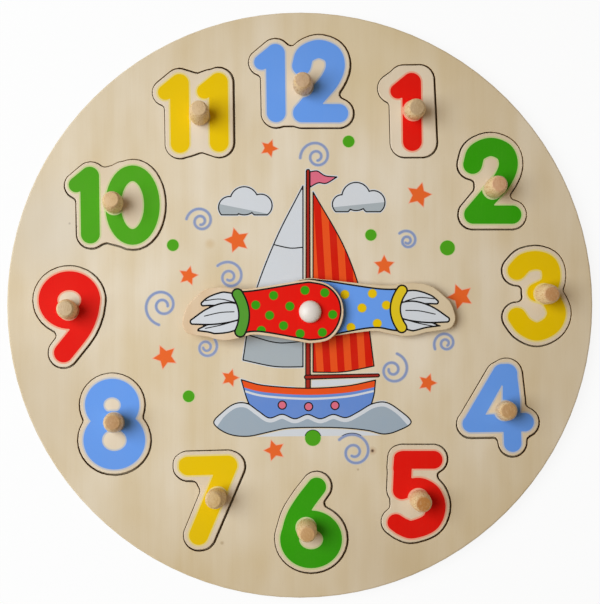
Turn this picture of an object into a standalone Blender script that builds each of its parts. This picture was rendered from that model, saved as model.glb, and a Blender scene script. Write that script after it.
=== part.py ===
"""A wooden teaching clock: a round puzzle board whose twelve numerals lift out by their pegs."""

import math

import bmesh
import bpy
import numpy as np

# The board is two plywood discs glued face to face, and the numerals are cut through the upper disc
BOARD_DIAMETER = 0.300
BACK_THICKNESS = 0.003
FACE_THICKNESS = 0.004
BOARD_EDGE_RADIUS = 0.0008

# Gap between pieces that rest on each other or turn in each other
SEAT_GAP = 0.0003

# Numeral pieces: the digits are strokes with round ends, and the wooden piece is a margin wider.
# The ring of numerals fills the board, so the digits follow the board and the strokes the digits.
SINGLE_HEIGHT_SHARE = 0.1533
PAIRED_HEIGHT_SHARE = 0.135
STROKE_WIDTH_SHARE = 0.211
PRINT_MARGIN = 0.0026
NOTCH_RADIUS = 0.0024
NUMERAL_PLAY = 0.0007

# Pegs: turned beech knobs whose tenons are glued into the numeral pieces
PEG_HEIGHT = 0.0155
PEG_BELLY_DIAMETER = 0.0102
PEG_TOP_DIAMETER = 0.0068
PEG_FOOT_DIAMETER = 0.0088
PEG_BELLY_HEIGHT = 0.0070
PEG_TENON_DIAMETER = 0.0045

# Hands: plywood paddles that turn on one pin, which sits a little off the board's centre
PIVOT_X = 0.0048
PIVOT_Y = -0.0037
HAND_THICKNESS = 0.003
HOUR_REACH = 0.0644
HOUR_HUB_DIAMETER = 0.0320
HOUR_WAIST_WIDTH = 0.0231
HOUR_BLADE_WIDTH = 0.0270
MINUTE_REACH = 0.0740
MINUTE_HUB_DIAMETER = 0.0315
MINUTE_WAIST_WIDTH = 0.0233
MINUTE_BLADE_WIDTH = 0.0272
MINUTE_BORE_OFFSET = 0.0014
MINUTE_TURN_DEGREES = 1.0
HOUR_TURN_DEGREES = 180.0

# Washers that keep the minute hand off the board and the hands off each other
SPACER_THICKNESS = 0.0015
SPACER_DIAMETER = 0.0160
WASHER_THICKNESS = 0.0008
WASHER_DIAMETER = 0.0140

# The pin is the domed half of a plastic snap rivet, and the socket is its closed half
PIN_SHANK_DIAMETER = 0.0050
DOME_DIAMETER = 0.0113
DOME_HEIGHT = 0.0042
DOME_RIM_HEIGHT = 0.0006
PIN_NOSE_LENGTH = 0.0015
PIN_NOSE_TAPER = 0.0006
SNAP_GROOVE_DEPTH = 0.00045
SNAP_LIP_HEIGHT = 0.0007
SOCKET_WALL = 0.0013
SOCKET_FLANGE_DIAMETER = 0.0150
SOCKET_FLANGE_THICKNESS = 0.0012

# Cutters run this far past the faces they cut
CUT_OVERRUN = 0.001

# Outlines are traced on a square grid and keep only the points that this tolerance needs
TRACE_STEP = 0.0006
TRACE_TOLERANCE = 0.0001
WELD_DISTANCE = 0.00001

BOARD_SIDES = 96
PEG_SIDES = 18
PIN_SIDES = 24
BORE_SIDES = 16
ARC_STEPS = 4
RIM_STEPS = 2
DOME_STEPS = 6
CURVE_STEPS = 6
OVAL_STEPS = 36

# Strokes of each digit: x and y are shares of the digit's height, the third value is a share of
# the stroke width there. An oval has its centre, its two radii and its stroke share.
DIGIT_STROKE_SHARES = {
    "0": [("oval", (0.0, 0.0, 0.244, 0.401, 0.83))],
    "1": [
        ("line", [(0.07, 0.378, 1.0), (0.08, -0.378, 1.0)]),
        ("line", [(-0.105, 0.265, 0.8), (0.07, 0.378, 1.0)]),
    ],
    "2": [
        ("curve", [(-0.228, 0.19, 1.0), (-0.18, 0.325, 1.0), (-0.02, 0.393, 0.97), (0.14, 0.33, 1.0),
                   (0.185, 0.185, 1.0), (0.12, 0.015, 1.0), (-0.025, -0.16, 1.0), (-0.22, -0.385, 0.97)]),
        ("line", [(-0.22, -0.39, 0.97), (0.23, -0.39, 0.97)]),
    ],
    "3": [
        ("curve", [(-0.224, 0.283, 1.0), (-0.136, 0.37, 1.0), (0.003, 0.397, 0.97), (0.12, 0.35, 0.97),
                   (0.158, 0.235, 0.97), (0.125, 0.115, 0.97), (-0.01, 0.04, 0.95)]),
        ("curve", [(-0.01, 0.04, 0.95), (0.125, -0.01, 0.97), (0.214, -0.175, 1.0), (0.16, -0.32, 1.0),
                   (0.003, -0.397, 0.97), (-0.14, -0.34, 0.97), (-0.224, -0.233, 0.97)]),
    ],
    "4": [
        ("line", [(0.01, 0.37, 0.8), (-0.311, -0.19, 0.86)]),
        ("line", [(0.01, 0.37, 0.8), (0.095, 0.375, 1.14)]),
        ("line", [(0.095, 0.375, 1.14), (0.15, 0.088, 0.93)]),
        ("line", [(0.15, 0.088, 0.93), (0.167, -0.4, 0.93)]),
        ("line", [(-0.311, -0.19, 0.9), (0.303, -0.171, 0.98)]),
    ],
    "5": [
        ("line", [(-0.151, 0.397, 0.95), (0.197, 0.397, 0.95)]),
        ("line", [(-0.151, 0.397, 0.95), (-0.166, 0.048, 0.95)]),
        ("line", [(-0.178, 0.415, 0.72), (-0.187, 0.3, 0.72)]),
        ("curve", [(-0.166, 0.048, 0.95), (-0.048, 0.08, 0.97), (0.066, 0.077, 1.0), (0.18, 0.0, 1.0),
                   (0.226, -0.152, 1.0), (0.158, -0.318, 1.0), (-0.037, -0.399, 0.95),
                   (-0.15, -0.373, 0.93), (-0.234, -0.32, 0.9)]),
    ],
    "6": [
        ("curve", [(0.061, 0.395, 1.0), (-0.061, 0.235, 1.02), (-0.171, 0.053, 1.02), (-0.237, -0.168, 1.0)]),
        ("oval", (0.0, -0.182, 0.237, 0.214, 1.0)),
    ],
    "7": [
        ("line", [(-0.223, 0.374, 1.0), (0.213, 0.386, 1.0)]),
        ("line", [(-0.262, 0.397, 0.62), (-0.262, 0.357, 0.62)]),
        ("line", [(0.213, 0.381, 1.03), (-0.107, -0.392, 1.02)]),
    ],
    "8": [
        ("oval", (-0.024, 0.208, 0.198, 0.187, 0.98)),
        ("oval", (0.0, -0.181, 0.239, 0.216, 1.0)),
    ],
    "9": [
        ("oval", (-0.002, 0.184, 0.235, 0.213, 1.0)),
        ("curve", [(0.234, 0.198, 1.0), (0.208, 0.034, 1.0), (0.126, -0.147, 1.02), (-0.066, -0.394, 1.02)]),
    ],
}

# Digits of each numeral: the digit, its centre and its size as shares of the digit height
NUMERAL_DIGIT_SHARES = {
    1: [("1", 0.0, 0.0, 0.872)],
    2: [("2", 0.0, 0.0, 0.963)],
    3: [("3", 0.0, 0.0, 1.0)],
    4: [("4", 0.0, 0.0, 0.974)],
    5: [("5", 0.0, 0.0, 0.974)],
    6: [("6", 0.0, 0.0, 1.01)],
    7: [("7", 0.0, 0.0, 1.008)],
    8: [("8", 0.0, 0.0, 1.01)],
    9: [("9", 0.0, 0.0, 1.015)],
    10: [("1", -0.384, -0.008, 0.95), ("0", 0.218, 0.0, 1.005)],
    11: [("1", -0.247, -0.004, 1.005), ("1", 0.247, 0.01, 1.005)],
    12: [("1", -0.396, -0.01, 0.993), ("2", 0.24, 0.0125, 1.037)],
}

# Strokes that only the wooden piece has, which fill its waist or widen it beyond the print
PLATE_STROKE_SHARES = {
    1: [
        [(-0.03, 0.36, 0.95), (-0.01, -0.335, 1.0)],
        [(0.148, 0.36, 1.0), (0.18, -0.335, 1.0)],
        [(-0.03, 0.36, 0.97), (0.148, 0.36, 0.97)],
        [(-0.01, -0.34, 1.0), (0.18, -0.34, 1.0)],
        [(-0.155, 0.262, 0.95), (-0.03, 0.35, 0.95)],
    ],
    2: [[(-0.029, -0.02, 1.0), (-0.029, -0.08, 1.0)]],
    5: [[(-0.118, -0.06, 1.0), (-0.118, -0.17, 1.0)]],
    7: [[(0.24, 0.375, 1.03), (-0.085, -0.392, 1.02)], [(0.0, 0.313, 1.0), (0.04, 0.22, 1.0)]],
    10: [
        [(-0.301, 0.326, 1.0), (-0.147, 0.271, 1.0), (0.033, 0.319, 1.0), (0.091, 0.355, 1.0)],
        [(-0.267, -0.331, 1.0), (-0.109, -0.287, 1.0), (0.062, -0.337, 1.0)],
    ],
    11: [
        [(-0.17, 0.37, 1.0), (-0.1, 0.351, 1.0), (0.056, 0.3, 1.0), (0.217, 0.363, 1.0)],
        [(-0.08, -0.36, 1.0), (0.104, -0.293, 1.0), (0.274, -0.35, 1.0)],
    ],
    12: [[(-0.28, -0.365, 1.0), (0.0, -0.365, 1.0)]],
}

# Centre of each recess, as shares of the board's radius
NUMERAL_PLACE_SHARES = {
    1: (0.3640, 0.6590),
    2: (0.6555, 0.4230),
    3: (0.8090, 0.0310),
    4: (0.6770, -0.3500),
    5: (0.3970, -0.6440),
    6: (0.0400, -0.7415),
    7: (-0.3110, -0.6660),
    8: (-0.6325, -0.4060),
    9: (-0.7855, -0.0410),
    10: (-0.6275, 0.3420),
    11: (-0.3620, 0.6550),
    12: (0.0060, 0.7600),
}

# Where each piece has come to rest in its recess, as shares of its free play
PLAY_SHIFT_SHARES = {
    1: (-0.7, 0.3),
    2: (0.5, 0.5),
    3: (0.6, 0.2),
    4: (-0.2, 0.8),
    5: (-0.5, 0.3),
    6: (-0.8, 0.2),
    7: (-0.8, 0.5),
    8: (-0.3, 0.7),
    9: (-0.6, 0.5),
    10: (-0.5, 0.8),
    11: (-1.0, 0.1),
    12: (-0.7, 0.4),
}

# Each peg's centre on its piece, as shares of the digit height
PEG_PLACE_SHARES = {
    1: (0.084, 0.014),
    2: (0.006, -0.091),
    3: (0.075, 0.023),
    4: (0.073, -0.040),
    5: (0.029, -0.058),
    6: (-0.053, -0.061),
    7: (0.106, 0.032),
    8: (-0.003, 0.011),
    9: (-0.008, 0.075),
    10: (-0.018, -0.003),
    11: (0.084, -0.048),
    12: (0.024, -0.056),
}

# One turn round a hand's edge. On the blade and at the waist each point is a share of the reach
# and a share of half the width there, and round the hub it is an angle in degrees and a share of
# the hub's radius
UPPER_BLADE_SHARES = [(1.0, -0.37), (0.972, 0.12), (0.93, 0.385), (0.86, 0.715), (0.79, 0.875), (0.68, 0.915)]
WAIST_SHARES = [(0.49, 1.0), (0.41, -1.0)]
HUB_SHARES = [
    (72.0, 1.03), (95.0, 1.0), (124.0, 1.04), (152.0, 1.06), (180.0, 1.06),
    (208.0, 1.06), (236.0, 1.06), (266.0, 0.99), (288.0, 0.99),
]
LOWER_BLADE_SHARES = [
    (0.56, -0.99), (0.64, -1.07), (0.72, -1.04), (0.8, -0.935), (0.88, -0.885), (0.95, -0.825),
    (0.985, -0.68),
]

WOOD_COLOUR = (0.78, 0.63, 0.44, 1.0)
PEG_COLOUR = (0.74, 0.53, 0.33, 1.0)
HOUR_COLOUR = (0.78, 0.03, 0.02, 1.0)
MINUTE_COLOUR = (0.12, 0.31, 0.80, 1.0)
PLASTIC_COLOUR = (0.86, 0.86, 0.84, 1.0)

# Heights of the faces in the stack, from the ground up
FACE_BOTTOM = BACK_THICKNESS + SEAT_GAP
FACE_TOP = FACE_BOTTOM + FACE_THICKNESS
SPACER_BOTTOM = FACE_TOP + SEAT_GAP
MINUTE_BOTTOM = SPACER_BOTTOM + SPACER_THICKNESS + SEAT_GAP
WASHER_BOTTOM = MINUTE_BOTTOM + HAND_THICKNESS + SEAT_GAP
HOUR_BOTTOM = WASHER_BOTTOM + WASHER_THICKNESS + SEAT_GAP
DOME_BOTTOM = HOUR_BOTTOM + HAND_THICKNESS + SEAT_GAP

# Sizes that follow the board's diameter
BOARD_RADIUS = BOARD_DIAMETER / 2
SINGLE_DIGIT_HEIGHT = SINGLE_HEIGHT_SHARE * BOARD_DIAMETER
PAIRED_DIGIT_HEIGHT = PAIRED_HEIGHT_SHARE * BOARD_DIAMETER
STROKE_WIDTH = STROKE_WIDTH_SHARE * SINGLE_DIGIT_HEIGHT

# Radii of the pin, of the socket round it and of the holes round both
SHANK_RADIUS = PIN_SHANK_DIAMETER / 2
RUNNING_BORE_RADIUS = SHANK_RADIUS + SEAT_GAP
BARREL_RADIUS = RUNNING_BORE_RADIUS + SOCKET_WALL
BOARD_BORE_RADIUS = BARREL_RADIUS + SEAT_GAP
FLANGE_RECESS_RADIUS = SOCKET_FLANGE_DIAMETER / 2 + SEAT_GAP
FLANGE_RECESS_DEPTH = SOCKET_FLANGE_THICKNESS + 2 * SEAT_GAP


def clear_scene():
    for item in list(bpy.data.objects):
        bpy.data.objects.remove(item, do_unlink=True)


def new_collection(name):
    collection = bpy.data.collections.new(name)
    bpy.context.scene.collection.children.link(collection)
    return collection


def add_material(piece, colour, roughness):
    material = bpy.data.materials.new(piece.name)
    material.use_nodes = True
    shader = material.node_tree.nodes["Principled BSDF"]
    shader.inputs["Base Color"].default_value = colour
    shader.inputs["Roughness"].default_value = roughness
    shader.inputs["Metallic"].default_value = 0.0
    material.diffuse_color = colour
    piece.data.materials.append(material)


def arc(centre_x, centre_y, radius, start_degrees, end_degrees, steps=ARC_STEPS):
    angles = np.radians(np.linspace(start_degrees, end_degrees, steps + 1))
    return [(centre_x + radius * math.cos(a), centre_y + radius * math.sin(a)) for a in angles]


def smooth_curve(points, closed=False):
    """A Catmull-Rom curve through the points, whose columns may hold more than x and y."""
    points = np.array(points, float)
    if closed:
        ends = np.vstack([points[-1:], points, points[:2]])
    else:
        ends = np.vstack([2 * points[0] - points[1], points, 2 * points[-1] - points[-2]])
    curve = []
    for before, start, end, after in zip(ends[:-3], ends[1:-2], ends[2:-1], ends[3:]):
        for t in np.arange(CURVE_STEPS) / CURVE_STEPS:
            bend = 2 * before - 5 * start + 4 * end - after
            twist = 3 * start - before - 3 * end + after
            curve.append(start + 0.5 * ((end - before) * t + bend * t * t + twist * t ** 3))
    if not closed:
        curve.append(points[-1])
    return np.array(curve)


def oval_stroke(centre_x, centre_y, radius_x, radius_y, width):
    angles = np.linspace(0.0, 2 * math.pi, OVAL_STEPS + 1)
    columns = (centre_x + radius_x * np.cos(angles), centre_y + radius_y * np.sin(angles))
    return np.column_stack([*columns, np.full(OVAL_STEPS + 1, width)])


def digit_height(hour):
    return SINGLE_DIGIT_HEIGHT if len(NUMERAL_DIGIT_SHARES[hour]) == 1 else PAIRED_DIGIT_HEIGHT


def numeral_strokes(hour):
    """Rows of x, y and half width in metres for every stroke of the numeral's wooden piece."""
    strokes = []
    for digit, centre_x, centre_y, size in NUMERAL_DIGIT_SHARES[hour]:
        for kind, shape in DIGIT_STROKE_SHARES[digit]:
            if kind == "oval":
                shares = oval_stroke(*shape)
            elif kind == "curve":
                shares = smooth_curve(shape)
            else:
                shares = np.array(shape)
            strokes.append(shares * (size, size, 1.0) + (centre_x, centre_y, 0.0))
    strokes += [np.array(shape) for shape in PLATE_STROKE_SHARES.get(hour, [])]
    scale = (digit_height(hour), digit_height(hour), STROKE_WIDTH / 2)
    return [stroke * scale for stroke in strokes]


def stroke_distance(grid_x, grid_y, strokes):
    """Distance of every grid point from the nearest stroke's edge, negative inside a stroke."""
    nearest = np.full(grid_x.shape, np.inf)
    for stroke in strokes:
        for (x0, y0, half0), (x1, y1, half1) in zip(stroke[:-1], stroke[1:]):
            run_x, run_y = x1 - x0, y1 - y0
            square = run_x * run_x + run_y * run_y
            share = np.clip(((grid_x - x0) * run_x + (grid_y - y0) * run_y) / square, 0.0, 1.0)
            away = np.hypot(grid_x - x0 - share * run_x, grid_y - y0 - share * run_y)
            nearest = np.minimum(nearest, away - half0 - share * (half1 - half0))
    return nearest


def signed_distance(grid_x, grid_y, loop):
    """Distance of every grid point from a closed loop, negative inside it."""
    closed = np.vstack([loop, loop[:1]])
    line = np.column_stack([closed, np.zeros(len(closed))])
    inside = np.zeros(grid_x.shape, bool)
    for (x0, y0), (x1, y1) in zip(closed[:-1], closed[1:]):
        if y0 != y1:
            crossing_x = x0 + (grid_y - y0) * (x1 - x0) / (y1 - y0)
            inside ^= ((y0 > grid_y) != (y1 > grid_y)) & (grid_x < crossing_x)
    distance = stroke_distance(grid_x, grid_y, [line])
    return np.where(inside, -distance, distance)


def outer_contour(grid_x, grid_y, field, level):
    """The longest closed line on which the field has the level, traced cell by cell."""
    inside = field < level

    def crossing(first, second):
        share = (level - field[first]) / (field[second] - field[first])
        x = grid_x[first] + share * (grid_x[second] - grid_x[first])
        y = grid_y[first] + share * (grid_y[second] - grid_y[first])
        return x, y

    points = {}
    following = {}
    mixed = (inside[:-1, :-1] != inside[1:, 1:]) | (inside[1:, :-1] != inside[:-1, 1:])
    mixed |= inside[:-1, :-1] != inside[1:, :-1]
    for i, j in np.argwhere(mixed):
        corners = [(i, j), (i + 1, j), (i + 1, j + 1), (i, j + 1)]
        sides = list(zip(corners, corners[1:] + corners[:1]))
        leaving = [side for side in sides if inside[side[0]] and not inside[side[1]]]
        for side in leaving:
            after = sides.index(side)
            ahead = sides[after + 1:] + sides[:after]
            entering = next(other for other in ahead if inside[other[1]] and not inside[other[0]])
            start, end = tuple(sorted(side)), tuple(sorted(entering))
            points[start] = crossing(*start)
            points[end] = crossing(*end)
            following[start] = end
    longest = []
    while following:
        key = next(iter(following))
        loop = []
        while key in following:
            loop.append(points[key])
            key = following.pop(key)
        longest = max(longest, loop, key=len)
    return np.array(longest)


def fewest_points(line):
    """The line without the points that lie within the tolerance of the chord past them."""
    start, end = line[0], line[-1]
    chord = end - start
    offsets = abs(chord[0] * (line[:, 1] - start[1]) - chord[1] * (line[:, 0] - start[0]))
    offsets = offsets / math.hypot(*chord)
    middle = int(offsets.argmax())
    if offsets[middle] < TRACE_TOLERANCE:
        return [tuple(start), tuple(end)]
    return fewest_points(line[:middle + 1])[:-1] + fewest_points(line[middle:])


def simplified(loop):
    middle = int(np.hypot(*(loop - loop[0]).T).argmax())
    closed = np.vstack([loop, loop[:1]])
    return fewest_points(closed[:middle + 1])[:-1] + fewest_points(closed[middle:])[:-1]


def numeral_outlines(hour):
    """Outlines of the wooden piece and of its recess, with the notches between strokes filleted.

    The strokes are swollen past the margin by the notch radius, and the outlines are then drawn
    back inside that swollen shape, which rounds every inner corner and keeps the outer ones.
    """
    strokes = numeral_strokes(hour)
    ends = np.vstack(strokes)
    reach = STROKE_WIDTH + PRINT_MARGIN + NOTCH_RADIUS + NUMERAL_PLAY
    low, high = ends[:, :2].min(axis=0) - reach, ends[:, :2].max(axis=0) + reach
    columns = np.arange(low[0], high[0], TRACE_STEP)
    rows = np.arange(low[1], high[1], TRACE_STEP)
    grid_x, grid_y = np.meshgrid(columns, rows, indexing="ij")
    field = stroke_distance(grid_x, grid_y, strokes)
    swollen = outer_contour(grid_x, grid_y, field, PRINT_MARGIN + NOTCH_RADIUS)
    depth = signed_distance(grid_x, grid_y, swollen)
    piece = outer_contour(grid_x, grid_y, depth, -NOTCH_RADIUS)
    recess = outer_contour(grid_x, grid_y, depth, NUMERAL_PLAY - NOTCH_RADIUS)
    return simplified(piece), simplified(recess)


def extruded(name, loops, bottom, top, collection):
    """A mesh plate cut to a filled 2D curve, whose first loop is the edge and the others holes."""
    curve = bpy.data.curves.new(name, "CURVE")
    curve.dimensions = "2D"
    curve.fill_mode = "BOTH"
    curve.extrude = (top - bottom) / 2
    for loop in loops:
        spline = curve.splines.new("POLY")
        spline.points.add(len(loop) - 1)
        for point, (x, y) in zip(spline.points, loop):
            point.co = (x, y, 0.0, 1.0)
        spline.use_cyclic_u = True
    outline = bpy.data.objects.new(name + "_outline", curve)
    outline.location.z = (bottom + top) / 2
    collection.objects.link(outline)
    bpy.context.view_layer.update()
    evaluated = outline.evaluated_get(bpy.context.evaluated_depsgraph_get())
    mesh = bpy.data.meshes.new_from_object(evaluated)
    mesh.name = name
    shape = bmesh.new()
    shape.from_mesh(mesh)
    bmesh.ops.remove_doubles(shape, verts=shape.verts, dist=WELD_DISTANCE)
    shape.to_mesh(mesh)
    shape.free()
    plate = bpy.data.objects.new(name, mesh)
    plate.matrix_world = outline.matrix_world
    collection.objects.link(plate)
    bpy.data.objects.remove(outline)
    bpy.data.curves.remove(curve)
    return plate


def turned(name, profile, sides, collection, closed=False):
    """A lathe shape: the profile runs down its outer side, and a closed one leaves a bore."""
    mesh = bpy.data.meshes.new(name)
    last = len(profile) - 1
    edges = [(i, i + 1) for i in range(last)] + ([(last, 0)] if closed else [])
    mesh.from_pydata([(radius, 0.0, height) for radius, height in profile], edges, [])
    piece = bpy.data.objects.new(name, mesh)
    collection.objects.link(piece)
    screw = piece.modifiers.new("turn", "SCREW")
    screw.steps = sides
    screw.render_steps = sides
    screw.use_merge_vertices = True
    screw.merge_threshold = WELD_DISTANCE
    screw.use_smooth_shade = True
    return piece


def make_back_panel(collection):
    inset = BOARD_RADIUS - BOARD_EDGE_RADIUS
    rim = arc(inset, BOARD_EDGE_RADIUS, BOARD_EDGE_RADIUS, 0.0, -90.0, RIM_STEPS)
    profile = [(0.0, BACK_THICKNESS), (BOARD_RADIUS, BACK_THICKNESS)] + rim + [(0.0, 0.0)]
    panel = turned("back_panel", profile, BOARD_SIDES, collection)
    add_material(panel, WOOD_COLOUR, 0.55)
    return panel


def make_face_panel(collection):
    inset = BOARD_RADIUS - BOARD_EDGE_RADIUS
    rim = arc(inset, FACE_TOP - BOARD_EDGE_RADIUS, BOARD_EDGE_RADIUS, 90.0, 0.0, RIM_STEPS)
    profile = [(0.0, FACE_TOP)] + rim + [(BOARD_RADIUS, FACE_BOTTOM), (0.0, FACE_BOTTOM)]
    panel = turned("face_panel", profile, BOARD_SIDES, collection)
    add_material(panel, WOOD_COLOUR, 0.55)
    return panel


def cut(piece, cutter, label):
    boolean = piece.modifiers.new(label, "BOOLEAN")
    boolean.operation = "DIFFERENCE"
    boolean.solver = "EXACT"
    boolean.object = cutter
    cutter.hide_render = True
    cutter.display_type = "WIRE"


def cut_pivot_holes(back, face, cutters):
    """A bore for the socket's barrel through both panels, and a recess for its flange behind."""
    height = FACE_TOP + CUT_OVERRUN
    profile = [
        (0.0, height),
        (BOARD_BORE_RADIUS, height),
        (BOARD_BORE_RADIUS, FLANGE_RECESS_DEPTH),
        (FLANGE_RECESS_RADIUS, FLANGE_RECESS_DEPTH),
        (FLANGE_RECESS_RADIUS, -CUT_OVERRUN),
        (0.0, -CUT_OVERRUN),
    ]
    cutter = turned("pivot_cutter", profile, PIN_SIDES, cutters)
    cutter.location = (PIVOT_X, PIVOT_Y, 0.0)
    cut(back, cutter, "pivot recess")
    cut(face, cutter, "pivot bore")


def make_numeral(hour, face, collection, cutters):
    piece_outline, recess_outline = numeral_outlines(hour)
    place = np.array(NUMERAL_PLACE_SHARES[hour]) * BOARD_RADIUS
    cutter = extruded(
        f"recess_{hour}_cutter", [recess_outline], FACE_BOTTOM - CUT_OVERRUN, FACE_TOP + CUT_OVERRUN, cutters
    )
    cutter.location.x, cutter.location.y = place
    cut(face, cutter, f"recess {hour}")

    peg_place = np.array(PEG_PLACE_SHARES[hour]) * digit_height(hour)
    hole = arc(*peg_place, PEG_TENON_DIAMETER / 2 + SEAT_GAP, 0.0, 360.0, BORE_SIDES)[:-1]
    plate = extruded(f"numeral_{hour}", [piece_outline, hole], FACE_BOTTOM, FACE_TOP, collection)
    shift = np.array(PLAY_SHIFT_SHARES[hour]) * (NUMERAL_PLAY - SEAT_GAP)
    plate.location.x, plate.location.y = place + shift
    add_material(plate, WOOD_COLOUR, 0.5)
    peg = make_peg(f"peg_{hour}", collection)
    peg.parent = plate
    peg.location = (*peg_place, FACE_TOP - plate.location.z)


def make_peg(name, collection):
    """A barrel-shaped knob with a flat top, standing on its plate with its tenon in the hole."""
    belly, top, foot = PEG_BELLY_DIAMETER / 2, PEG_TOP_DIAMETER / 2, PEG_FOOT_DIAMETER / 2
    quarter = np.radians(np.linspace(0.0, 90.0, ARC_STEPS + 1))
    crown = PEG_HEIGHT - PEG_BELLY_HEIGHT
    shoulder = [
        (top + (belly - top) * math.sin(a), PEG_BELLY_HEIGHT + crown * math.cos(a)) for a in quarter
    ]
    drop = PEG_BELLY_HEIGHT - SEAT_GAP
    under = [
        (foot + (belly - foot) * math.cos(a), PEG_BELLY_HEIGHT - drop * math.sin(a)) for a in quarter[1:]
    ]
    tenon = PEG_TENON_DIAMETER / 2
    tenon_end = SEAT_GAP - FACE_THICKNESS
    stem = [(tenon, SEAT_GAP), (tenon, tenon_end), (0.0, tenon_end)]
    peg = turned(name, [(0.0, PEG_HEIGHT)] + shoulder + under + stem, PEG_SIDES, collection)
    add_material(peg, PEG_COLOUR, 0.6)
    return peg


def hand_outline(reach, hub_diameter, waist_width, blade_width, side=1, offset=0.0):
    """A bent paddle along +X with its hub round the origin; side is -1 for the mirror image."""
    upper = [(x * reach, y * blade_width / 2) for x, y in UPPER_BLADE_SHARES]
    lower = [(x * reach, y * blade_width / 2) for x, y in LOWER_BLADE_SHARES]
    waist = [(x * reach, y * waist_width / 2) for x, y in WAIST_SHARES]
    hub = []
    for angle, share in HUB_SHARES:
        radius = share * hub_diameter / 2
        hub.append((radius * math.cos(math.radians(angle)), radius * math.sin(math.radians(angle))))
    edge = upper + waist[:1] + hub + waist[1:] + lower
    return simplified(smooth_curve([(x, side * y + offset) for x, y in edge], closed=True))


def make_hand(name, outline, bottom, turn_degrees, colour, collection):
    bore = arc(0.0, 0.0, RUNNING_BORE_RADIUS, 0.0, 360.0, PIN_SIDES)[:-1]
    hand = extruded(name, [outline, bore], bottom, bottom + HAND_THICKNESS, collection)
    hand.location.x, hand.location.y = PIVOT_X, PIVOT_Y
    hand.rotation_euler.z = math.radians(turn_degrees)
    add_material(hand, colour, 0.4)


def make_washer(name, diameter, bottom, thickness, collection):
    top = bottom + thickness
    profile = [
        (RUNNING_BORE_RADIUS, top),
        (diameter / 2, top),
        (diameter / 2, bottom),
        (RUNNING_BORE_RADIUS, bottom),
    ]
    washer = turned(name, profile, PIN_SIDES, collection, closed=True)
    washer.location = (PIVOT_X, PIVOT_Y, 0.0)
    add_material(washer, PLASTIC_COLOUR, 0.5)


def make_pivot(collection):
    """The snap rivet: the pin's groove catches over the lip inside the socket's blind bore."""
    flange_top = SEAT_GAP + SOCKET_FLANGE_THICKNESS
    shank_end = flange_top + SEAT_GAP
    groove_bottom = shank_end + PIN_NOSE_LENGTH
    lip_bottom = groove_bottom + SEAT_GAP
    lip_top = lip_bottom + SNAP_LIP_HEIGHT
    groove_top = lip_top + SEAT_GAP
    groove_radius = SHANK_RADIUS - SNAP_GROOVE_DEPTH
    lip_radius = groove_radius + SEAT_GAP

    dome_radius = DOME_DIAMETER / 2
    crown = DOME_HEIGHT - DOME_RIM_HEIGHT
    quarter = np.radians(np.linspace(90.0, 0.0, DOME_STEPS + 1))
    dome = [
        (dome_radius * math.cos(a), DOME_BOTTOM + DOME_RIM_HEIGHT + crown * math.sin(a)) for a in quarter
    ]
    dome[0] = (0.0, DOME_BOTTOM + DOME_HEIGHT)
    shank = [
        (dome_radius, DOME_BOTTOM),
        (SHANK_RADIUS, DOME_BOTTOM),
        (SHANK_RADIUS, groove_top),
        (groove_radius, groove_top),
        (groove_radius, groove_bottom),
        (SHANK_RADIUS, groove_bottom),
        (SHANK_RADIUS - PIN_NOSE_TAPER, shank_end),
        (0.0, shank_end),
    ]
    pin = turned("pivot_pin", dome + shank, PIN_SIDES, collection)
    mouth = FACE_TOP - SEAT_GAP
    barrel = [
        (0.0, flange_top),
        (RUNNING_BORE_RADIUS, flange_top),
        (RUNNING_BORE_RADIUS, lip_bottom),
        (lip_radius, lip_bottom),
        (lip_radius, lip_top),
        (RUNNING_BORE_RADIUS, lip_top),
        (RUNNING_BORE_RADIUS, mouth),
        (BARREL_RADIUS, mouth),
        (BARREL_RADIUS, flange_top),
        (SOCKET_FLANGE_DIAMETER / 2, flange_top),
        (SOCKET_FLANGE_DIAMETER / 2, SEAT_GAP),
        (0.0, SEAT_GAP),
    ]
    socket = turned("pivot_socket", barrel, PIN_SIDES, collection)
    for piece in (pin, socket):
        piece.location = (PIVOT_X, PIVOT_Y, 0.0)
        add_material(piece, PLASTIC_COLOUR, 0.25)


def main():
    clear_scene()
    clock = new_collection("teaching_clock")
    cutters = new_collection("cutters")
    back = make_back_panel(clock)
    face = make_face_panel(clock)
    cut_pivot_holes(back, face, cutters)
    for hour in NUMERAL_PLACE_SHARES:
        make_numeral(hour, face, clock, cutters)
    hour_outline = hand_outline(HOUR_REACH, HOUR_HUB_DIAMETER, HOUR_WAIST_WIDTH, HOUR_BLADE_WIDTH, side=-1)
    minute_outline = hand_outline(
        MINUTE_REACH, MINUTE_HUB_DIAMETER, MINUTE_WAIST_WIDTH, MINUTE_BLADE_WIDTH, offset=MINUTE_BORE_OFFSET
    )
    make_washer("spacer_washer", SPACER_DIAMETER, SPACER_BOTTOM, SPACER_THICKNESS, clock)
    make_hand("minute_hand", minute_outline, MINUTE_BOTTOM, MINUTE_TURN_DEGREES, MINUTE_COLOUR, clock)
    make_washer("hand_washer", WASHER_DIAMETER, WASHER_BOTTOM, WASHER_THICKNESS, clock)
    make_hand("hour_hand", hour_outline, HOUR_BOTTOM, HOUR_TURN_DEGREES, HOUR_COLOUR, clock)
    make_pivot(clock)


main()
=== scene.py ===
# %% [markdown]
# # A wooden teaching clock
#
# The object is a round puzzle board of birch plywood. Twelve numerals are sawn out of its upper
# sheet and lift out by turned pegs, and two paddle-shaped hands turn on a plastic rivet in the
# middle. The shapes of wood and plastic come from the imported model. This script gives them their
# finish: veneer grain, burnt edges, screen-printed inks, turned pegs and a moulded rivet head.

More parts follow.
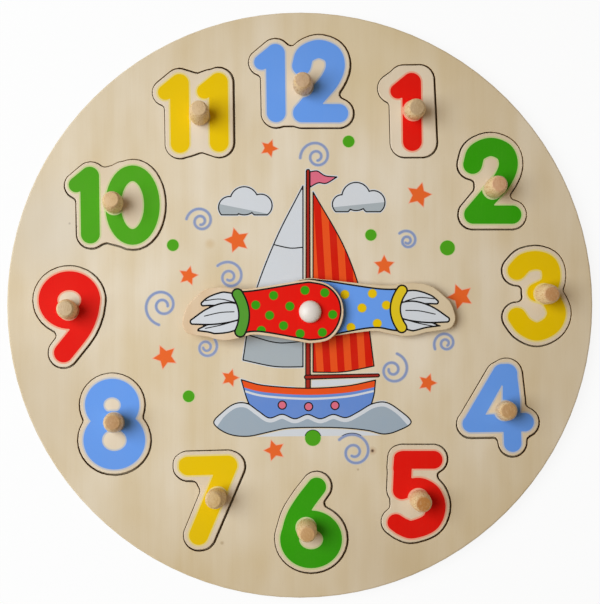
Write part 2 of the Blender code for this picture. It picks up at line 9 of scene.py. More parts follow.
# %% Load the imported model
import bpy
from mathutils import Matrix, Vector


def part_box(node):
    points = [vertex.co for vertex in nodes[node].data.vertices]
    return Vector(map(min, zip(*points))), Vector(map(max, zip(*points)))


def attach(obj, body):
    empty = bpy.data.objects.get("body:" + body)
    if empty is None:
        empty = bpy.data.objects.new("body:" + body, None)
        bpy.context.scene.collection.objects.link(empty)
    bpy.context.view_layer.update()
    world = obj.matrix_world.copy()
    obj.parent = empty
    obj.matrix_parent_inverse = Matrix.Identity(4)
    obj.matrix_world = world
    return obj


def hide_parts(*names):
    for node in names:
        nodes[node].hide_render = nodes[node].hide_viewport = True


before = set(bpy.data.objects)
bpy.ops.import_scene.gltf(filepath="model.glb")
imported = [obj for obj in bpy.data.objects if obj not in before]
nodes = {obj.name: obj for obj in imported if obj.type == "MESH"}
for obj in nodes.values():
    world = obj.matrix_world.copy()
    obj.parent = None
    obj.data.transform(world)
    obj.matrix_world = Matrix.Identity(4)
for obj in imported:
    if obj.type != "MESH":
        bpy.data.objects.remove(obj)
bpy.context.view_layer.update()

import math
from functools import partial

import bmesh
import bpy
import numpy as np
from mathutils import Matrix, Vector

print("nodes loaded:", len(nodes))

# %% [markdown]
# ## Heights to print on
#
# Ink lies on wood, so the first thing to know is how high each wooden face is. The boxes of the
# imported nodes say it, which is better than typing the numbers: if the model changes, the prints
# follow.

# %% Read the heights and the pivot from the model
MM = 0.001
FACE_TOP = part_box("face_panel")[1].z
MINUTE_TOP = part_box("minute_hand")[1].z
HOUR_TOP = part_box("hour_hand")[1].z
pin_low, pin_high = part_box("pivot_pin")
PIVOT = ((pin_low.x + pin_high.x) / 2, (pin_low.y + pin_high.y) / 2)
print("face, minute and hour tops in mm:", [round(z / MM, 2) for z in (FACE_TOP, MINUTE_TOP, HOUR_TOP)])

# %% [markdown]
# ## Camera
#
# The board was photographed from straight above, fairly near: the tops of the pegs lean outwards.
# They lean away from a point left of and below the middle, so the camera stands over that point
# and its lens is shifted to keep the board in the frame. The lean also gives the distance,
# about 0.6 m above the face.

# %% Set the camera over the board
FRAME_WIDTH, FRAME_HEIGHT = 600, 604
PIXEL = 0.5121 * MM
BOARD_CENTRE_PIXEL = (299.8, 305.1)
AXIS_PIXEL = (253.0, 347.0)
CAMERA_DISTANCE = 594 * MM


def add_object(name, data):
    """A new object in the scene."""
    thing = bpy.data.objects.new(name, data)
    bpy.context.scene.collection.objects.link(thing)
    return thing


lens = bpy.data.cameras.new("camera")
lens.sensor_width = 36.0
lens.lens = lens.sensor_width * CAMERA_DISTANCE / (FRAME_HEIGHT * PIXEL)
lens.shift_x = (FRAME_WIDTH / 2 - AXIS_PIXEL[0]) / FRAME_HEIGHT
lens.shift_y = (AXIS_PIXEL[1] - FRAME_HEIGHT / 2) / FRAME_HEIGHT
lens.clip_start = 0.01
camera = add_object("camera", lens)
camera.location = (
    (AXIS_PIXEL[0] - BOARD_CENTRE_PIXEL[0]) * PIXEL,
    (BOARD_CENTRE_PIXEL[1] - AXIS_PIXEL[1]) * PIXEL,
    FACE_TOP + CAMERA_DISTANCE,
)
bpy.context.scene.camera = camera
print("lens in mm:", round(lens.lens, 1), "shift:", round(lens.shift_x, 3))

# %% [markdown]
# ## Colours and nodes
#
# Colours are written as sRGB hex values, the way a paint chart gives them, and one function turns
# them to the linear values that a shader works in. A second function adds one shader node with its
# settings and its links, so that each material below reads from top to bottom. All the Mix nodes
# mix colours. A third function gives the surface its colour and sheen, and raises a relief on it.

# %% Helpers for colours and nodes
def linear(colour):
    """An sRGB hex colour as linear red, green, blue and alpha."""
    channels = [int(colour[i:i + 2], 16) / 255 for i in (1, 3, 5)]
    return (*[c / 12.92 if c <= 0.04045 else ((c + 0.055) / 1.055) ** 2.4 for c in channels], 1.0)


def in_use(source):
    """The first output that a node uses with its settings; an output stays what it is."""
    return next(socket for socket in getattr(source, "outputs", [source]) if socket.enabled)


def add_node(tree, kind, settings=None, links=None):
    """A new node: settings fill its properties, sockets or ramp stops, and links join its sockets."""
    node = tree.nodes.new("ShaderNode" + kind)
    if kind == "Mix":
        node.data_type = "RGBA"
    for key, value in (settings or {}).items():
        if key == "stops":
            for _ in value[2:]:
                node.color_ramp.elements.new(0.5)
            for element, (place, colour) in zip(node.color_ramp.elements, value):
                element.position, element.color = place, linear(colour)
        elif isinstance(key, int) or key in node.inputs:
            node.inputs[key].default_value = value
        else:
            setattr(node, key, value)
    for key, source in (links or {}).items():
        tree.links.new(in_use(source), node.inputs[key])
    return node


def new_material(name):
    """A material, and the function that adds nodes to it."""
    material = bpy.data.materials.new(name)
    material.use_nodes = True
    return material, partial(add_node, material.node_tree)


def give_material(mesh, material):
    """Give the mesh that material and no other."""
    mesh.materials.clear()
    mesh.materials.append(material)


def finished(material, sockets, relief, strength, depth):
    """The material, with its surface's sockets filled or linked and a relief that many mm deep."""
    tree = material.node_tree
    surface = tree.nodes["Principled BSDF"]
    bump = add_node(tree, "Bump", {"Strength": strength, "Distance": depth * MM}, {"Height": relief})
    for key, value in {**sockets, "Normal": bump}.items():
        if isinstance(value, float):
            surface.inputs[key].default_value = value
        else:
            tree.links.new(in_use(value), surface.inputs[key])
    return material


# %% [markdown]
# ## Floor, backdrop and light
#
# The board lies on a plain white surface. The light comes from one soft window high on the left,
# so each peg throws a soft shadow to the right and the left of the board is paler. Daylight is a
# little blue and the light that the room gives back is warm, so the shadows and the right side
# turn warm. The floor looks white to the camera through Light Path, so no extra light is spent on
# it and it keeps the object's shadow.

# %% Floor
floor_mesh = bpy.data.meshes.new("floor")
floor_mesh.from_pydata([(-3, -3, 0), (3, -3, 0), (3, 3, 0), (-3, 3, 0)], [], [(0, 1, 2, 3)])
floor = add_object("floor", floor_mesh)
floor.location.z = -0.02 * MM


def seen_rays(add):
    """One for rays from the camera, for reflections of them and for rays through a clear surface."""
    path = add("LightPath").outputs
    mirrored = add("Math", {"operation": "MAXIMUM"}, {0: path["Is Camera Ray"], 1: path["Is Glossy Ray"]})
    return add("Math", {"operation": "MAXIMUM"}, {0: mirrored, 1: path["Is Transmission Ray"]})


PLAIN_WHITE = {"Color": (1.0, 1.0, 1.0, 1.0), "Strength": 1.0}
floor_paint, add = new_material("floor_matt_white_paint")
tree = floor_paint.node_tree
surface = tree.nodes["Principled BSDF"]
surface.inputs["Base Color"].default_value = linear("#F4F4F2")
surface.inputs["Roughness"].default_value = 0.9
glow = add("Emission", PLAIN_WHITE)
share = add("Math", {"operation": "MULTIPLY", 1: 0.9}, {0: seen_rays(add)})
blend = add("MixShader", None, {0: share, 1: surface, 2: glow})
tree.links.new(blend.outputs[0], tree.nodes["Material Output"].inputs["Surface"])
give_material(floor_mesh, floor_paint)

# %% World and window
world = bpy.data.worlds.new("studio")
bpy.context.scene.world = world
world.use_nodes = True
tree = world.node_tree
add = partial(add_node, tree)
room = tree.nodes["Background"]
room.inputs["Color"].default_value = (1.0, 0.74, 0.46, 1.0)
room.inputs["Strength"].default_value = 0.19
backdrop = add("Background", PLAIN_WHITE)
mixed = add("MixShader", None, {0: seen_rays(add), 1: room, 2: backdrop})
tree.links.new(mixed.outputs[0], tree.nodes["World Output"].inputs["Surface"])

light = bpy.data.lights.new("window", "AREA")
light.size, light.energy, light.color = 1.05, 20.5, (0.86, 0.928, 1.0)
window = add_object("window", light)
window.location = (-0.84, 0.08, 1.08)
window.rotation_euler = (-window.location).to_track_quat("-Z", "Y").to_euler()
bpy.context.scene.view_settings.view_transform = "Standard"
print("window:", light.size, "m wide,", round(light.energy, 1), "W")

# %% [markdown]
# ## Birch plywood
#
# The board is thin birch plywood: rotary-cut veneers about a millimetre thick, glued with the grain
# crossed. On the face the grain is very quiet, long streaks of cream and tan with a few short
# darker flecks. On a cut edge the veneers show as stripes, one pale with long grain and the next
# darker with end grain. Where a laser cut the sheet, the wall is scorched dark brown.
#
# Noise that is stretched along the grain gives this look. The stretch comes from real sizes: fibres
# half a millimetre wide and 25 mm long, growth figure 9 mm wide and 150 mm long. Which part is edge
# and which is face comes from the direction in which the surface looks.

# %% Painted shade: lacquer and ink darker towards the rim
UNSHADED_MIDDLE = (-22 * MM, 8 * MM, FACE_TOP)


def rim_shaded(add, place, colour, rim_shade_colour):
    """The colour, multiplied by another one more and more towards the rim: painted shade where the light
    falls off.
    """
    away = add("VectorMath", {"operation": "DISTANCE", 1: UNSHADED_MIDDLE}, {0: place})
    shade_share = add("MapRange", {"interpolation_type": "SMOOTHSTEP", "From Min": 50 * MM, "From Max": 190 * MM},
              {"Value": away})
    return add("Mix", {"blend_type": "MULTIPLY", 7: linear(rim_shade_colour)}, {0: shade_share, 6: colour})


# %% The plywood material
VENEER = 1.0 * MM
WALLS = {"sawn": ("#D9BD8E", "#A9814F"), "burnt": ("#74390E", "#4A2206")}


def plywood(name, pale, tan, top, shift, wall="sawn", marks=()):
    """Lacquered birch ply whose upper face lies at the height top; wall is sawn or burnt.

    Each mark is a knot, a stain or a broad patch of other tone: x, y and radius in millimetres, a colour
    and how strong it is.
    """
    material, add = new_material(name)
    place = add("TexCoord").outputs["Object"]

    def stretched(width, length, detail, offset):
        """Noise whose streaks have that width and length in millimetres, along the grain."""
        scale = (1 / (width * MM), 1 / (length * MM), 1 / (width * MM))
        spread = add("Mapping", {"Scale": scale, "Location": (shift + offset, shift, 0)}, {"Vector": place})
        return add("TexNoise", {"Scale": 1.0, "Detail": detail, "Roughness": 0.55}, {"Vector": spread})

    fibres = stretched(0.5, 25, 3.0, 0.0)
    figure = stretched(9, 150, 2.0, 7.0)
    clouds = stretched(30, 55, 2.0, 3.0)
    flecks = stretched(0.45, 3.2, 1.0, 5.0)
    wide = add("Math", {"operation": "MULTIPLY_ADD", 1: 0.45}, {0: figure, 2: clouds})
    tone = add("Math", {"operation": "MULTIPLY_ADD", 1: 0.15}, {0: fibres, 2: wide})
    level = add("MapRange", {"From Min": 0.55, "From Max": 1.05}, {"Value": tone})
    veneer = add("Mix", {6: linear(pale), 7: linear(tan)}, {0: level})
    dashes = add("MapRange", {"From Min": 0.68, "From Max": 0.84, "To Max": 0.12}, {"Value": flecks})
    face = add("Mix", {7: linear("#A98A5C")}, {0: dashes, 6: veneer})
    for mark_x, mark_y, radius, colour, strength in marks:
        away = add("VectorMath", {"operation": "DISTANCE", 1: (mark_x * MM, mark_y * MM, top)}, {0: place})
        spot = add("MapRange", {"From Min": 0.3 * radius * MM, "From Max": radius * MM, "To Min": strength,
                                "To Max": 0.0}, {"Value": away})
        face = add("Mix", {7: linear(colour)}, {0: spot, 6: face})
    # Painted shade: the face darkens towards the rim
    face = rim_shaded(add, place, face, "#EDE8DE")

    # On the walls each veneer is one band of height, counted down from the upper face
    height = add("SeparateXYZ", None, {0: place}).outputs["Z"]
    pairs = 0.5 / VENEER
    depth = add("Math", {"operation": "MULTIPLY_ADD", 1: -pairs, 2: top * pairs + 0.01}, {0: height})
    ring = add("Math", {"operation": "FRACT"}, {0: depth})
    crossed = add("Math", {"operation": "GREATER_THAN", 1: 0.5}, {0: ring})
    long_grain, end_grain = WALLS[wall]
    bands = add("Mix", {6: linear(long_grain), 7: linear(end_grain)}, {0: crossed})
    specks = add("TexNoise", {"Scale": 2600.0, "Detail": 2.0}, {"Vector": place}).outputs["Color"]
    edge = add("Mix", {"blend_type": "MULTIPLY", 0: 0.55}, {6: bands, 7: specks})
    if wall == "burnt":
        # Painted light: the top of each burnt wall is pale, for the light that reaches into the narrow gaps
        painted_light_on_wall_top = add("MapRange", {"From Min": top - 1.5 * MM, "From Max": top - 0.3 * MM}, {"Value": height})
        edge = add("Mix", {7: linear("#D8B274")}, {0: painted_light_on_wall_top, 6: edge})

    facing = add("NewGeometry").outputs["True Normal"]
    upright = add("SeparateXYZ", None, {0: facing}).outputs["Z"]
    flat = add("Math", {"operation": "ABSOLUTE"}, {0: upright})
    is_face = add("Math", {"operation": "GREATER_THAN", 1: 0.3}, {0: flat})
    colour = add("Mix", None, {0: is_face, 6: edge, 7: face})

    # The lacquer on the faces is satin, and the cut walls stay raw and quite dull
    satin = add("MapRange", {"To Min": 0.42, "To Max": 0.62}, {"Value": fibres})
    dull = add("Math", {"operation": "MULTIPLY_ADD", 1: -0.9, 2: 0.9}, {0: is_face})
    gloss = add("Math", {"operation": "MAXIMUM"}, {0: satin, 1: dull})
    return finished(material, {"Base Color": colour, "Roughness": gloss, "Specular IOR Level": 0.3},
                    fibres, 0.15, 0.05)


# %% [markdown]
# The upper sheet, the numerals cut from it and the two hands are the same wood, and each sheet gets
# its own stretch of grain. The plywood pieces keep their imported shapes. A bevel modifier takes the
# sharpness off their edges, as sanding does, so that they catch the light: a little on the board,
# and more on the numerals and hands, which children hold. The board has the small knots and
# stains that a veneer of this grade has, one dark and the others faint, and four broad patches
# where its tone changes.

# %% Dress the plywood pieces
VENEER_MARKS = [
    (37.2, -74.6, 2.6, "#B98A5C", 0.45), (37.2, -74.6, 1.1, "#4A2C1A", 0.95),
    (-117.9, 41.8, 0.8, "#745428", 0.9), (29.8, -84.2, 0.8, "#9A7A4C", 0.5),
    (-46.0, 31.4, 3.2, "#D2B179", 0.45), (-39.8, -121.8, 1.3, "#A88C60", 0.5),
    (32.0, 130.0, 52.0, "#DCC48C", 0.35), (-130.0, -46.0, 46.0, "#CDB894", 0.35),
    (44.0, -128.0, 34.0, "#CFB78E", 0.3), (-128.0, 40.0, 34.0, "#E6DCCB", 0.6),
]
BACK_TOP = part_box("back_panel")[1].z
board_ply = plywood("birch_plywood_lacquered", "#EFE1C9", "#DFCAA3", FACE_TOP, 0.0, "burnt", VENEER_MARKS)
back_ply = plywood("birch_plywood_back", "#E2D2B2", "#CDB68C", BACK_TOP, 40.0)
numeral_ply = plywood("birch_plywood_laser_cut", "#F1E2CB", "#E2CDAD", FACE_TOP, 0.0, "burnt")
minute_ply = plywood("birch_plywood_minute_hand", "#EBDABB", "#DCC49D", MINUTE_TOP, 11.0)
hour_ply = plywood("birch_plywood_hour_hand", "#F1DABB", "#E0BF96", HOUR_TOP, 23.0)
BOARD_EDGE, HELD_EDGE = 0.15 * MM, 0.4 * MM
MERGE, WELD = 0.001 * MM, 0.0005 * MM

DRESS = {
    "face_panel": (board_ply, BOARD_EDGE),
    "back_panel": (back_ply, BOARD_EDGE),
    "minute_hand": (minute_ply, HELD_EDGE),
    "hour_hand": (hour_ply, HELD_EDGE),
    **{f"numeral_{hour}": (numeral_ply, HELD_EDGE) for hour in range(1, 13)},
}
for name, (material, sanded) in DRESS.items():
    node = nodes[name]
    give_material(node.data, material)
    weld = node.modifiers.new("weld", "WELD")
    weld.merge_threshold = MERGE
    flat = node.modifiers.new("one face per side", "DECIMATE")
    flat.decimate_type, flat.angle_limit = "DISSOLVE", math.radians(0.5)
    bevel = node.modifiers.new("sanded edge", "BEVEL")
    bevel.width, bevel.segments = sanded, 2
    bevel.angle_limit, bevel.use_clamp_overlap = math.radians(50), False
print("plywood pieces dressed:", len(DRESS))

# %% [markdown]
# ## Beech pegs
#
# The pegs are turned from beech dowel: widest low down, drawn in to a flat top where the tool
# parted them off. On a lathe shape only the profile is drawn and the Screw modifier spins it, the
# way the real knob was made. It gives a smooth round side where the imported solid has flat facets,
# so each peg stands in the place of its node. Pegs glued in by hand lean a degree or so, each its
# own way, so the top of each is drawn aside a little while its foot stays flat on the wood. Each
# parted top gets a colour of its own, a little paler or browner than the next.

# %% The beech material
def turned_beech(name, pale, tan, end):
    """Beech with short dark rays on its side and pores and growth rings on its parted top."""
    material, add = new_material(name)
    place = add("TexCoord").outputs["Object"]
    along = add("Mapping", {"Scale": (2200, 2200, 160)}, {"Vector": place})
    fibres = add("TexNoise", {"Scale": 1.0, "Detail": 3.0}, {"Vector": along})
    side = add("ValToRGB", {"stops": [(0.3, tan), (0.52, pale), (0.75, pale)]}, {0: fibres})
    across = add("Mapping", {"Scale": (1500, 700, 200), "Rotation": (0, 0, 0.6)}, {"Vector": place})
    rings = add("TexNoise", {"Scale": 1.0, "Detail": 4.0, "Roughness": 0.7}, {"Vector": across})
    parted = add("ValToRGB", {"stops": [(0.12, "#A9794A"), (0.5, end), (0.88, "#D8B688")]}, {0: rings})
    facing = add("NewGeometry").outputs["True Normal"]
    upright = add("SeparateXYZ", None, {0: facing}).outputs["Z"]
    is_end = add("MapRange", {"From Min": 0.3, "From Max": 0.95}, {"Value": upright})
    colour = add("Mix", None, {0: is_end, 6: side, 7: parted})
    return finished(material, {"Base Color": colour, "Roughness": 0.55}, rings, 0.2, 0.04)


# %% Turn a piece on the lathe
def rounded(radius, reach, height, rise, start, end, points):
    """Radius and height along an oval, between two angles in degrees above its widest place."""
    return [
        (radius + reach * math.cos(a), height + rise * math.sin(a))
        for a in np.radians(np.linspace(start, end, points))
    ]


def finished_piece(name, blank, place, material):
    """The mesh that a blank makes, moved to its place, welded and turned outwards, as a piece."""
    bpy.context.view_layer.update()
    mesh = bpy.data.meshes.new_from_object(blank.evaluated_get(bpy.context.evaluated_depsgraph_get()))
    bpy.data.objects.remove(blank)
    mesh.transform(Matrix.Translation(place))
    shape = bmesh.new()
    shape.from_mesh(mesh)
    bmesh.ops.remove_doubles(shape, verts=shape.verts, dist=WELD)
    bmesh.ops.recalc_face_normals(shape, faces=shape.faces)
    shape.to_mesh(mesh)
    shape.free()
    give_material(mesh, material)
    return add_object(name, mesh)


def turned(name, profile, place, sides, material):
    """A solid of revolution: the profile's points of radius and height run from axis to axis."""
    mesh = bpy.data.meshes.new(name)
    points = [(radius, 0.0, height) for radius, height in profile]
    mesh.from_pydata(points, [(i, i + 1) for i in range(len(points) - 1)], [])
    blank = add_object(name + "_blank", mesh)
    lathe = blank.modifiers.new("lathe", "SCREW")
    lathe.steps = lathe.render_steps = sides
    lathe.use_merge_vertices, lathe.merge_threshold = True, MERGE
    piece = finished_piece(name, blank, place, material)
    piece.data.shade_smooth()
    return piece


# %% Turn the pegs
# The colour of each parted top, and where its middle is seen in the frame
PEG_TOPS = {
    1: ("#B69A72", 417.3, 107.3), 2: ("#CE9D74", 499.8, 183.6), 3: ("#BA854F", 552.3, 294.2),
    4: ("#B68B56", 509.0, 411.0), 5: ("#B5742C", 424.0, 504.3), 6: ("#C4975F", 307.5, 534.8),
    7: ("#CCA96C", 213.5, 500.5), 8: ("#BB8E5C", 112.3, 422.5), 9: ("#CEB289", 64.8, 308.5),
    10: ("#DAB582", 110.8, 199.3), 11: ("#D8B88A", 198.5, 107.8), 12: ("#C2A079", 302.5, 79.8),
}
PEG_FOOT, PEG_BELLY, PEG_TOP, TENON = 4.4 * MM, 5.1 * MM, 3.15 * MM, 2.25 * MM
BELLY_SHARE, FOOT_GAP, PEG_SIDES = 0.4516, 0.3 * MM, 48


def point_at_height(pixel_x, pixel_y, height):
    """Where a point of the frame lies on the level of the peg tops, in metres."""
    nearer = (CAMERA_DISTANCE - height) / CAMERA_DISTANCE
    across = (pixel_x - AXIS_PIXEL[0]) * nearer + AXIS_PIXEL[0] - BOARD_CENTRE_PIXEL[0]
    down = (pixel_y - AXIS_PIXEL[1]) * nearer + AXIS_PIXEL[1] - BOARD_CENTRE_PIXEL[1]
    return Vector((across * PIXEL, -down * PIXEL))


pegs = {}
for hour, (end_colour, top_x, top_y) in PEG_TOPS.items():
    low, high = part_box(f"peg_{hour}")
    peg_x, peg_y = (low.x + high.x) / 2, (low.y + high.y) / 2
    height = high.z - FACE_TOP
    belly = BELLY_SHARE * height
    crown = rounded(PEG_TOP, PEG_BELLY - PEG_TOP, belly, height - belly, 86, 0, 12)
    under = rounded(PEG_FOOT, PEG_BELLY - PEG_FOOT, belly, FOOT_GAP - belly, 10, 90, 8)
    # The knife leaves a narrow broken edge round the parted top
    top_edge = [(0.0, height), (PEG_TOP - 0.35 * MM, height), (PEG_TOP - 0.1 * MM, height - 0.08 * MM)]
    stem = [(TENON, FOOT_GAP), (TENON, low.z - FACE_TOP), (0.0, low.z - FACE_TOP)]
    profile = top_edge + crown + under + stem
    beech = turned_beech(f"beech_turned_{hour}", "#EBCE9E", "#C99A5E", end_colour)
    peg = turned(f"peg_{hour}_turned", profile, (peg_x, peg_y, FACE_TOP), PEG_SIDES, beech)
    leant = point_at_height(top_x, top_y, height) - Vector((peg_x, peg_y))
    for vertex in peg.data.vertices:
        risen = max(0.0, vertex.co.z - FACE_TOP) / height
        beside = Vector((vertex.co.x - peg_x, vertex.co.y - peg_y))
        dip = (beside.dot(leant) + PEG_TOP * leant.length) / height
        vertex.co += Vector((leant.x, leant.y, -dip)) * risen
    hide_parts(f"peg_{hour}")
    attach(peg, f"numeral_{hour}_piece")
    pegs[hour] = (peg_x, peg_y)
print("pegs turned:", len(pegs), "height over the face in mm:", round(height / MM, 1))

# %% [markdown]
# ## Rivet and washers
#
# The hands turn on a snap rivet of white ABS. The face of its domed half was polished in the mould,
# so it has a soft, wide shine and no texture, only a faint unevenness. Both halves are lathe shapes
# as the pegs are. The washers are nylon, duller and a little creamy.

# %% Moulded plastics
def moulded_plastic(name, colour, roughness, waviness):
    """Injection-moulded plastic: even colour, and a sheen that a slight waviness breaks up."""
    material, add = new_material(name)
    place = add("TexCoord").outputs["Object"]
    flow = add("TexNoise", {"Scale": 260.0, "Detail": 1.0}, {"Vector": place})
    tint = add("Mix", {"blend_type": "MULTIPLY", 0: 0.06, 6: linear(colour)}, {7: flow.outputs["Color"]})
    gloss = add("MapRange", {"To Min": roughness - 0.05, "To Max": roughness + 0.07}, {"Value": flow})
    return finished(material, {"Base Color": tint, "Roughness": gloss, "IOR": 1.54}, flow, waviness, 0.05)


white_abs = moulded_plastic("abs_white_moulded", "#EEE5DB", 0.38, 0.10)
nylon = moulded_plastic("nylon_natural_moulded", "#DDD9CE", 0.5, 0.2)
for name in ("spacer_washer", "hand_washer"):
    give_material(nodes[name].data, nylon)

# %% Turn the two halves of the rivet
DOME_RADIUS, SHANK_RADIUS, RIVET_SIDES = 5.65 * MM, 2.5 * MM, 64
# The shank's end, whose groove the socket grips: radius and height in millimetres
SHANK_END = [(2.5, 3.1), (2.05, 2.8), (2.05, 1.5), (2.5, 1.5), (1.9, 0.0), (0.0, 0.0)]
dome_base = HOUR_TOP + 0.3 * MM
dome_rim = dome_base + 0.6 * MM
dome = rounded(0.0, DOME_RADIUS, dome_rim, pin_high.z - dome_rim, 86, 0, 15)
under_dome = [(DOME_RADIUS - 0.15 * MM, dome_base), (SHANK_RADIUS, dome_base)]
shank = [(radius * MM, pin_low.z + height * MM) for radius, height in SHANK_END]
pin_profile = [(0.0, pin_high.z)] + dome + under_dome + shank
pin = turned("rivet_dome", pin_profile, (*PIVOT, 0.0), RIVET_SIDES, white_abs)
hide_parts("pivot_pin")
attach(pin, "board")

socket_low, socket_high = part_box("pivot_socket")
BORE, BARREL, FLANGE = 2.8 * MM, 4.1 * MM, 7.5 * MM
flange_top = socket_low.z + 1.2 * MM
socket_profile = [
    (0.0, flange_top), (BORE, flange_top), (BORE, socket_high.z), (BARREL, socket_high.z),
    (BARREL, flange_top), (FLANGE - 0.1 * MM, flange_top), (FLANGE, flange_top - 0.1 * MM),
    (FLANGE, socket_low.z + 0.35 * MM), (FLANGE - 0.35 * MM, socket_low.z), (0.0, socket_low.z),
]
socket = turned("rivet_socket", socket_profile, (*PIVOT, 0.0), RIVET_SIDES, white_abs)
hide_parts("pivot_socket")
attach(socket, "board")
print("rivet dome in mm:", round(2 * DOME_RADIUS / MM, 1), "wide")

# %% [markdown]
# ## Outlines for the prints
#
# Every printed shape is a thin closed plate cut to a filled curve. The outlines come from distance
# fields: for each point of a fine grid, how far it is from a stroke or from the edge of a shape,
# negative inside. Fields are easy to work with: growing a shape is a subtraction, the smaller of
# two fields joins their shapes, and the larger keeps what they share. Tracing where a field is
# zero gives the loops to print.

# %% Distance fields
CURVE_STEPS, OVAL_POINTS = 8, 48


def smooth_curve(points, closed=False):
    """A Catmull-Rom curve through the points, whose columns may hold more than x and y."""
    points = np.array(points, float)
    if closed:
        ends = np.vstack([points[-1:], points, points[:2]])
    else:
        ends = np.vstack([2 * points[0] - points[1], points, 2 * points[-1] - points[-2]])
    curve = []
    for before, start, end, after in zip(ends[:-3], ends[1:-2], ends[2:-1], ends[3:]):
        for t in np.arange(CURVE_STEPS) / CURVE_STEPS:
            bend = 2 * before - 5 * start + 4 * end - after
            twist = 3 * start - before - 3 * end + after
            curve.append(start + 0.5 * ((end - before) * t + bend * t * t + twist * t ** 3))
    if not closed:
        curve.append(points[-1])
    return np.array(curve)


def joined(*fields):
    """What lies inside any of the fields."""
    return np.min(fields, axis=0)


def shared(*fields):
    """What lies inside all of the fields."""
    return np.max(fields, axis=0)


def oval(centre_x, centre_y, radius_x, radius_y):
    angles = np.linspace(0.0, 2 * math.pi, OVAL_POINTS, endpoint=False)
    return np.column_stack([centre_x + radius_x * np.cos(angles), centre_y + radius_y * np.sin(angles)])


def grid_round(points, margin, step):
    """Columns of x and y of a square grid that covers the points with a margin."""
    points = np.asarray(points)
    low, high = points.min(axis=0) - margin, points.max(axis=0) + margin
    return np.meshgrid(np.arange(low[0], high[0], step), np.arange(low[1], high[1], step), indexing="ij")


def stroke_field(grid, strokes):
    """Distance from the nearest stroke's edge. A stroke's rows are x, y and half width."""
    nearest = np.full(grid[0].shape, np.inf)
    for stroke in strokes:
        for (x0, y0, half0), (x1, y1, half1) in zip(stroke[:-1], stroke[1:]):
            run_x, run_y = x1 - x0, y1 - y0
            square = run_x * run_x + run_y * run_y
            share = np.clip(((grid[0] - x0) * run_x + (grid[1] - y0) * run_y) / square, 0.0, 1.0)
            away = np.hypot(grid[0] - x0 - share * run_x, grid[1] - y0 - share * run_y)
            nearest = np.minimum(nearest, away - half0 - share * (half1 - half0))
    return nearest


def line_field(grid, points, half_width):
    """Distance from the edge of a line of even width."""
    return stroke_field(grid, [np.column_stack([points, np.full(len(points), half_width)])])


def shape_field(grid, loop):
    """Distance from the edge of a closed loop, negative inside it."""
    closed = np.vstack([loop, loop[:1]])
    inside = np.zeros(grid[0].shape, bool)
    for (x0, y0), (x1, y1) in zip(closed[:-1], closed[1:]):
        if y0 != y1:
            crossing_x = x0 + (grid[1] - y0) * (x1 - x0) / (y1 - y0)
            inside ^= ((y0 > grid[1]) != (y1 > grid[1])) & (grid[0] < crossing_x)
    distance = line_field(grid, closed, 0.0)
    return np.where(inside, -distance, distance)


# %% Trace the zero line of a field
TOLERANCE = 0.025 * MM


def fewest_points(line):
    """The line without the points that lie within the tolerance of the chord past them."""
    chord = line[-1] - line[0]
    length = math.hypot(*chord) or 1.0
    offsets = abs(chord[0] * (line[:, 1] - line[0][1]) - chord[1] * (line[:, 0] - line[0][0])) / length
    middle = int(offsets.argmax())
    if offsets[middle] < TOLERANCE:
        return [line[0], line[-1]]
    return fewest_points(line[:middle + 1])[:-1] + fewest_points(line[middle:])


def traced(grid, field):
    """All closed loops on which the field is zero, with no more points than the tolerance needs."""
    inside = field < 0
    points, following = {}, {}

    def crossing(first, second):
        share = field[first] / (field[first] - field[second])
        return [axis[first] + share * (axis[second] - axis[first]) for axis in grid]

    mixed = (inside[:-1, :-1] != inside[1:, 1:]) | (inside[1:, :-1] != inside[:-1, 1:])
    mixed |= inside[:-1, :-1] != inside[1:, :-1]
    for i, j in np.argwhere(mixed):
        corners = [(i, j), (i + 1, j), (i + 1, j + 1), (i, j + 1)]
        sides = list(zip(corners, corners[1:] + corners[:1]))
        for after, side in enumerate(sides):
            if inside[side[0]] and not inside[side[1]]:
                ahead = sides[after + 1:] + sides[:after]
                entering = next(other for other in ahead if inside[other[1]] and not inside[other[0]])
                start, end = tuple(sorted(side)), tuple(sorted(entering))
                points[start], points[end] = crossing(*start), crossing(*end)
                following[start] = end
    loops = []
    while following:
        key = next(iter(following))
        loop = []
        while key in following:
            loop.append(points[key])
            key = following.pop(key)
        loop = np.array(loop)
        middle = int(np.hypot(*(loop - loop[0]).T).argmax())
        closed = np.vstack([loop, loop[:1]])
        kept = fewest_points(closed[:middle + 1])[:-1] + fewest_points(closed[middle:])[:-1]
        if len(kept) > 3:
            loops.append(np.array(kept))
    return loops


# %% [markdown]
# ## Screen-printed inks
#
# The prints are silk-screened: a pale undercoat first, then flat opaque colours, then black lines.
# Each coat of ink is a thin plate. Real ink is some hundredths of a millimetre thick, and each coat
# here stands a fiftieth of a millimetre higher than the one under it. Ink dries satin and the grain
# of the wood still shows through it as a fine relief, and a little as uneven colour.

# %% Print a shape
COAT = 0.02 * MM


def print_ink(name, loops, base, coat, ink, body):
    """A film of ink that fills the loops, on a surface at the height base."""
    curve = bpy.data.curves.new(name, "CURVE")
    curve.dimensions, curve.fill_mode = "2D", "BOTH"
    bottom, top = base - COAT, base + coat * COAT
    curve.extrude = (top - bottom) / 2
    for loop in loops:
        spline = curve.splines.new("POLY")
        spline.points.add(len(loop) - 1)
        for point, (x, y) in zip(spline.points, loop):
            point.co = (x, y, 0.0, 1.0)
        spline.use_cyclic_u = True
    outline = add_object(name + "_outline", curve)
    piece = finished_piece(name, outline, (0, 0, (top + bottom) / 2), ink)
    piece.data.shade_flat()
    bpy.data.curves.remove(curve)
    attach(piece, body)


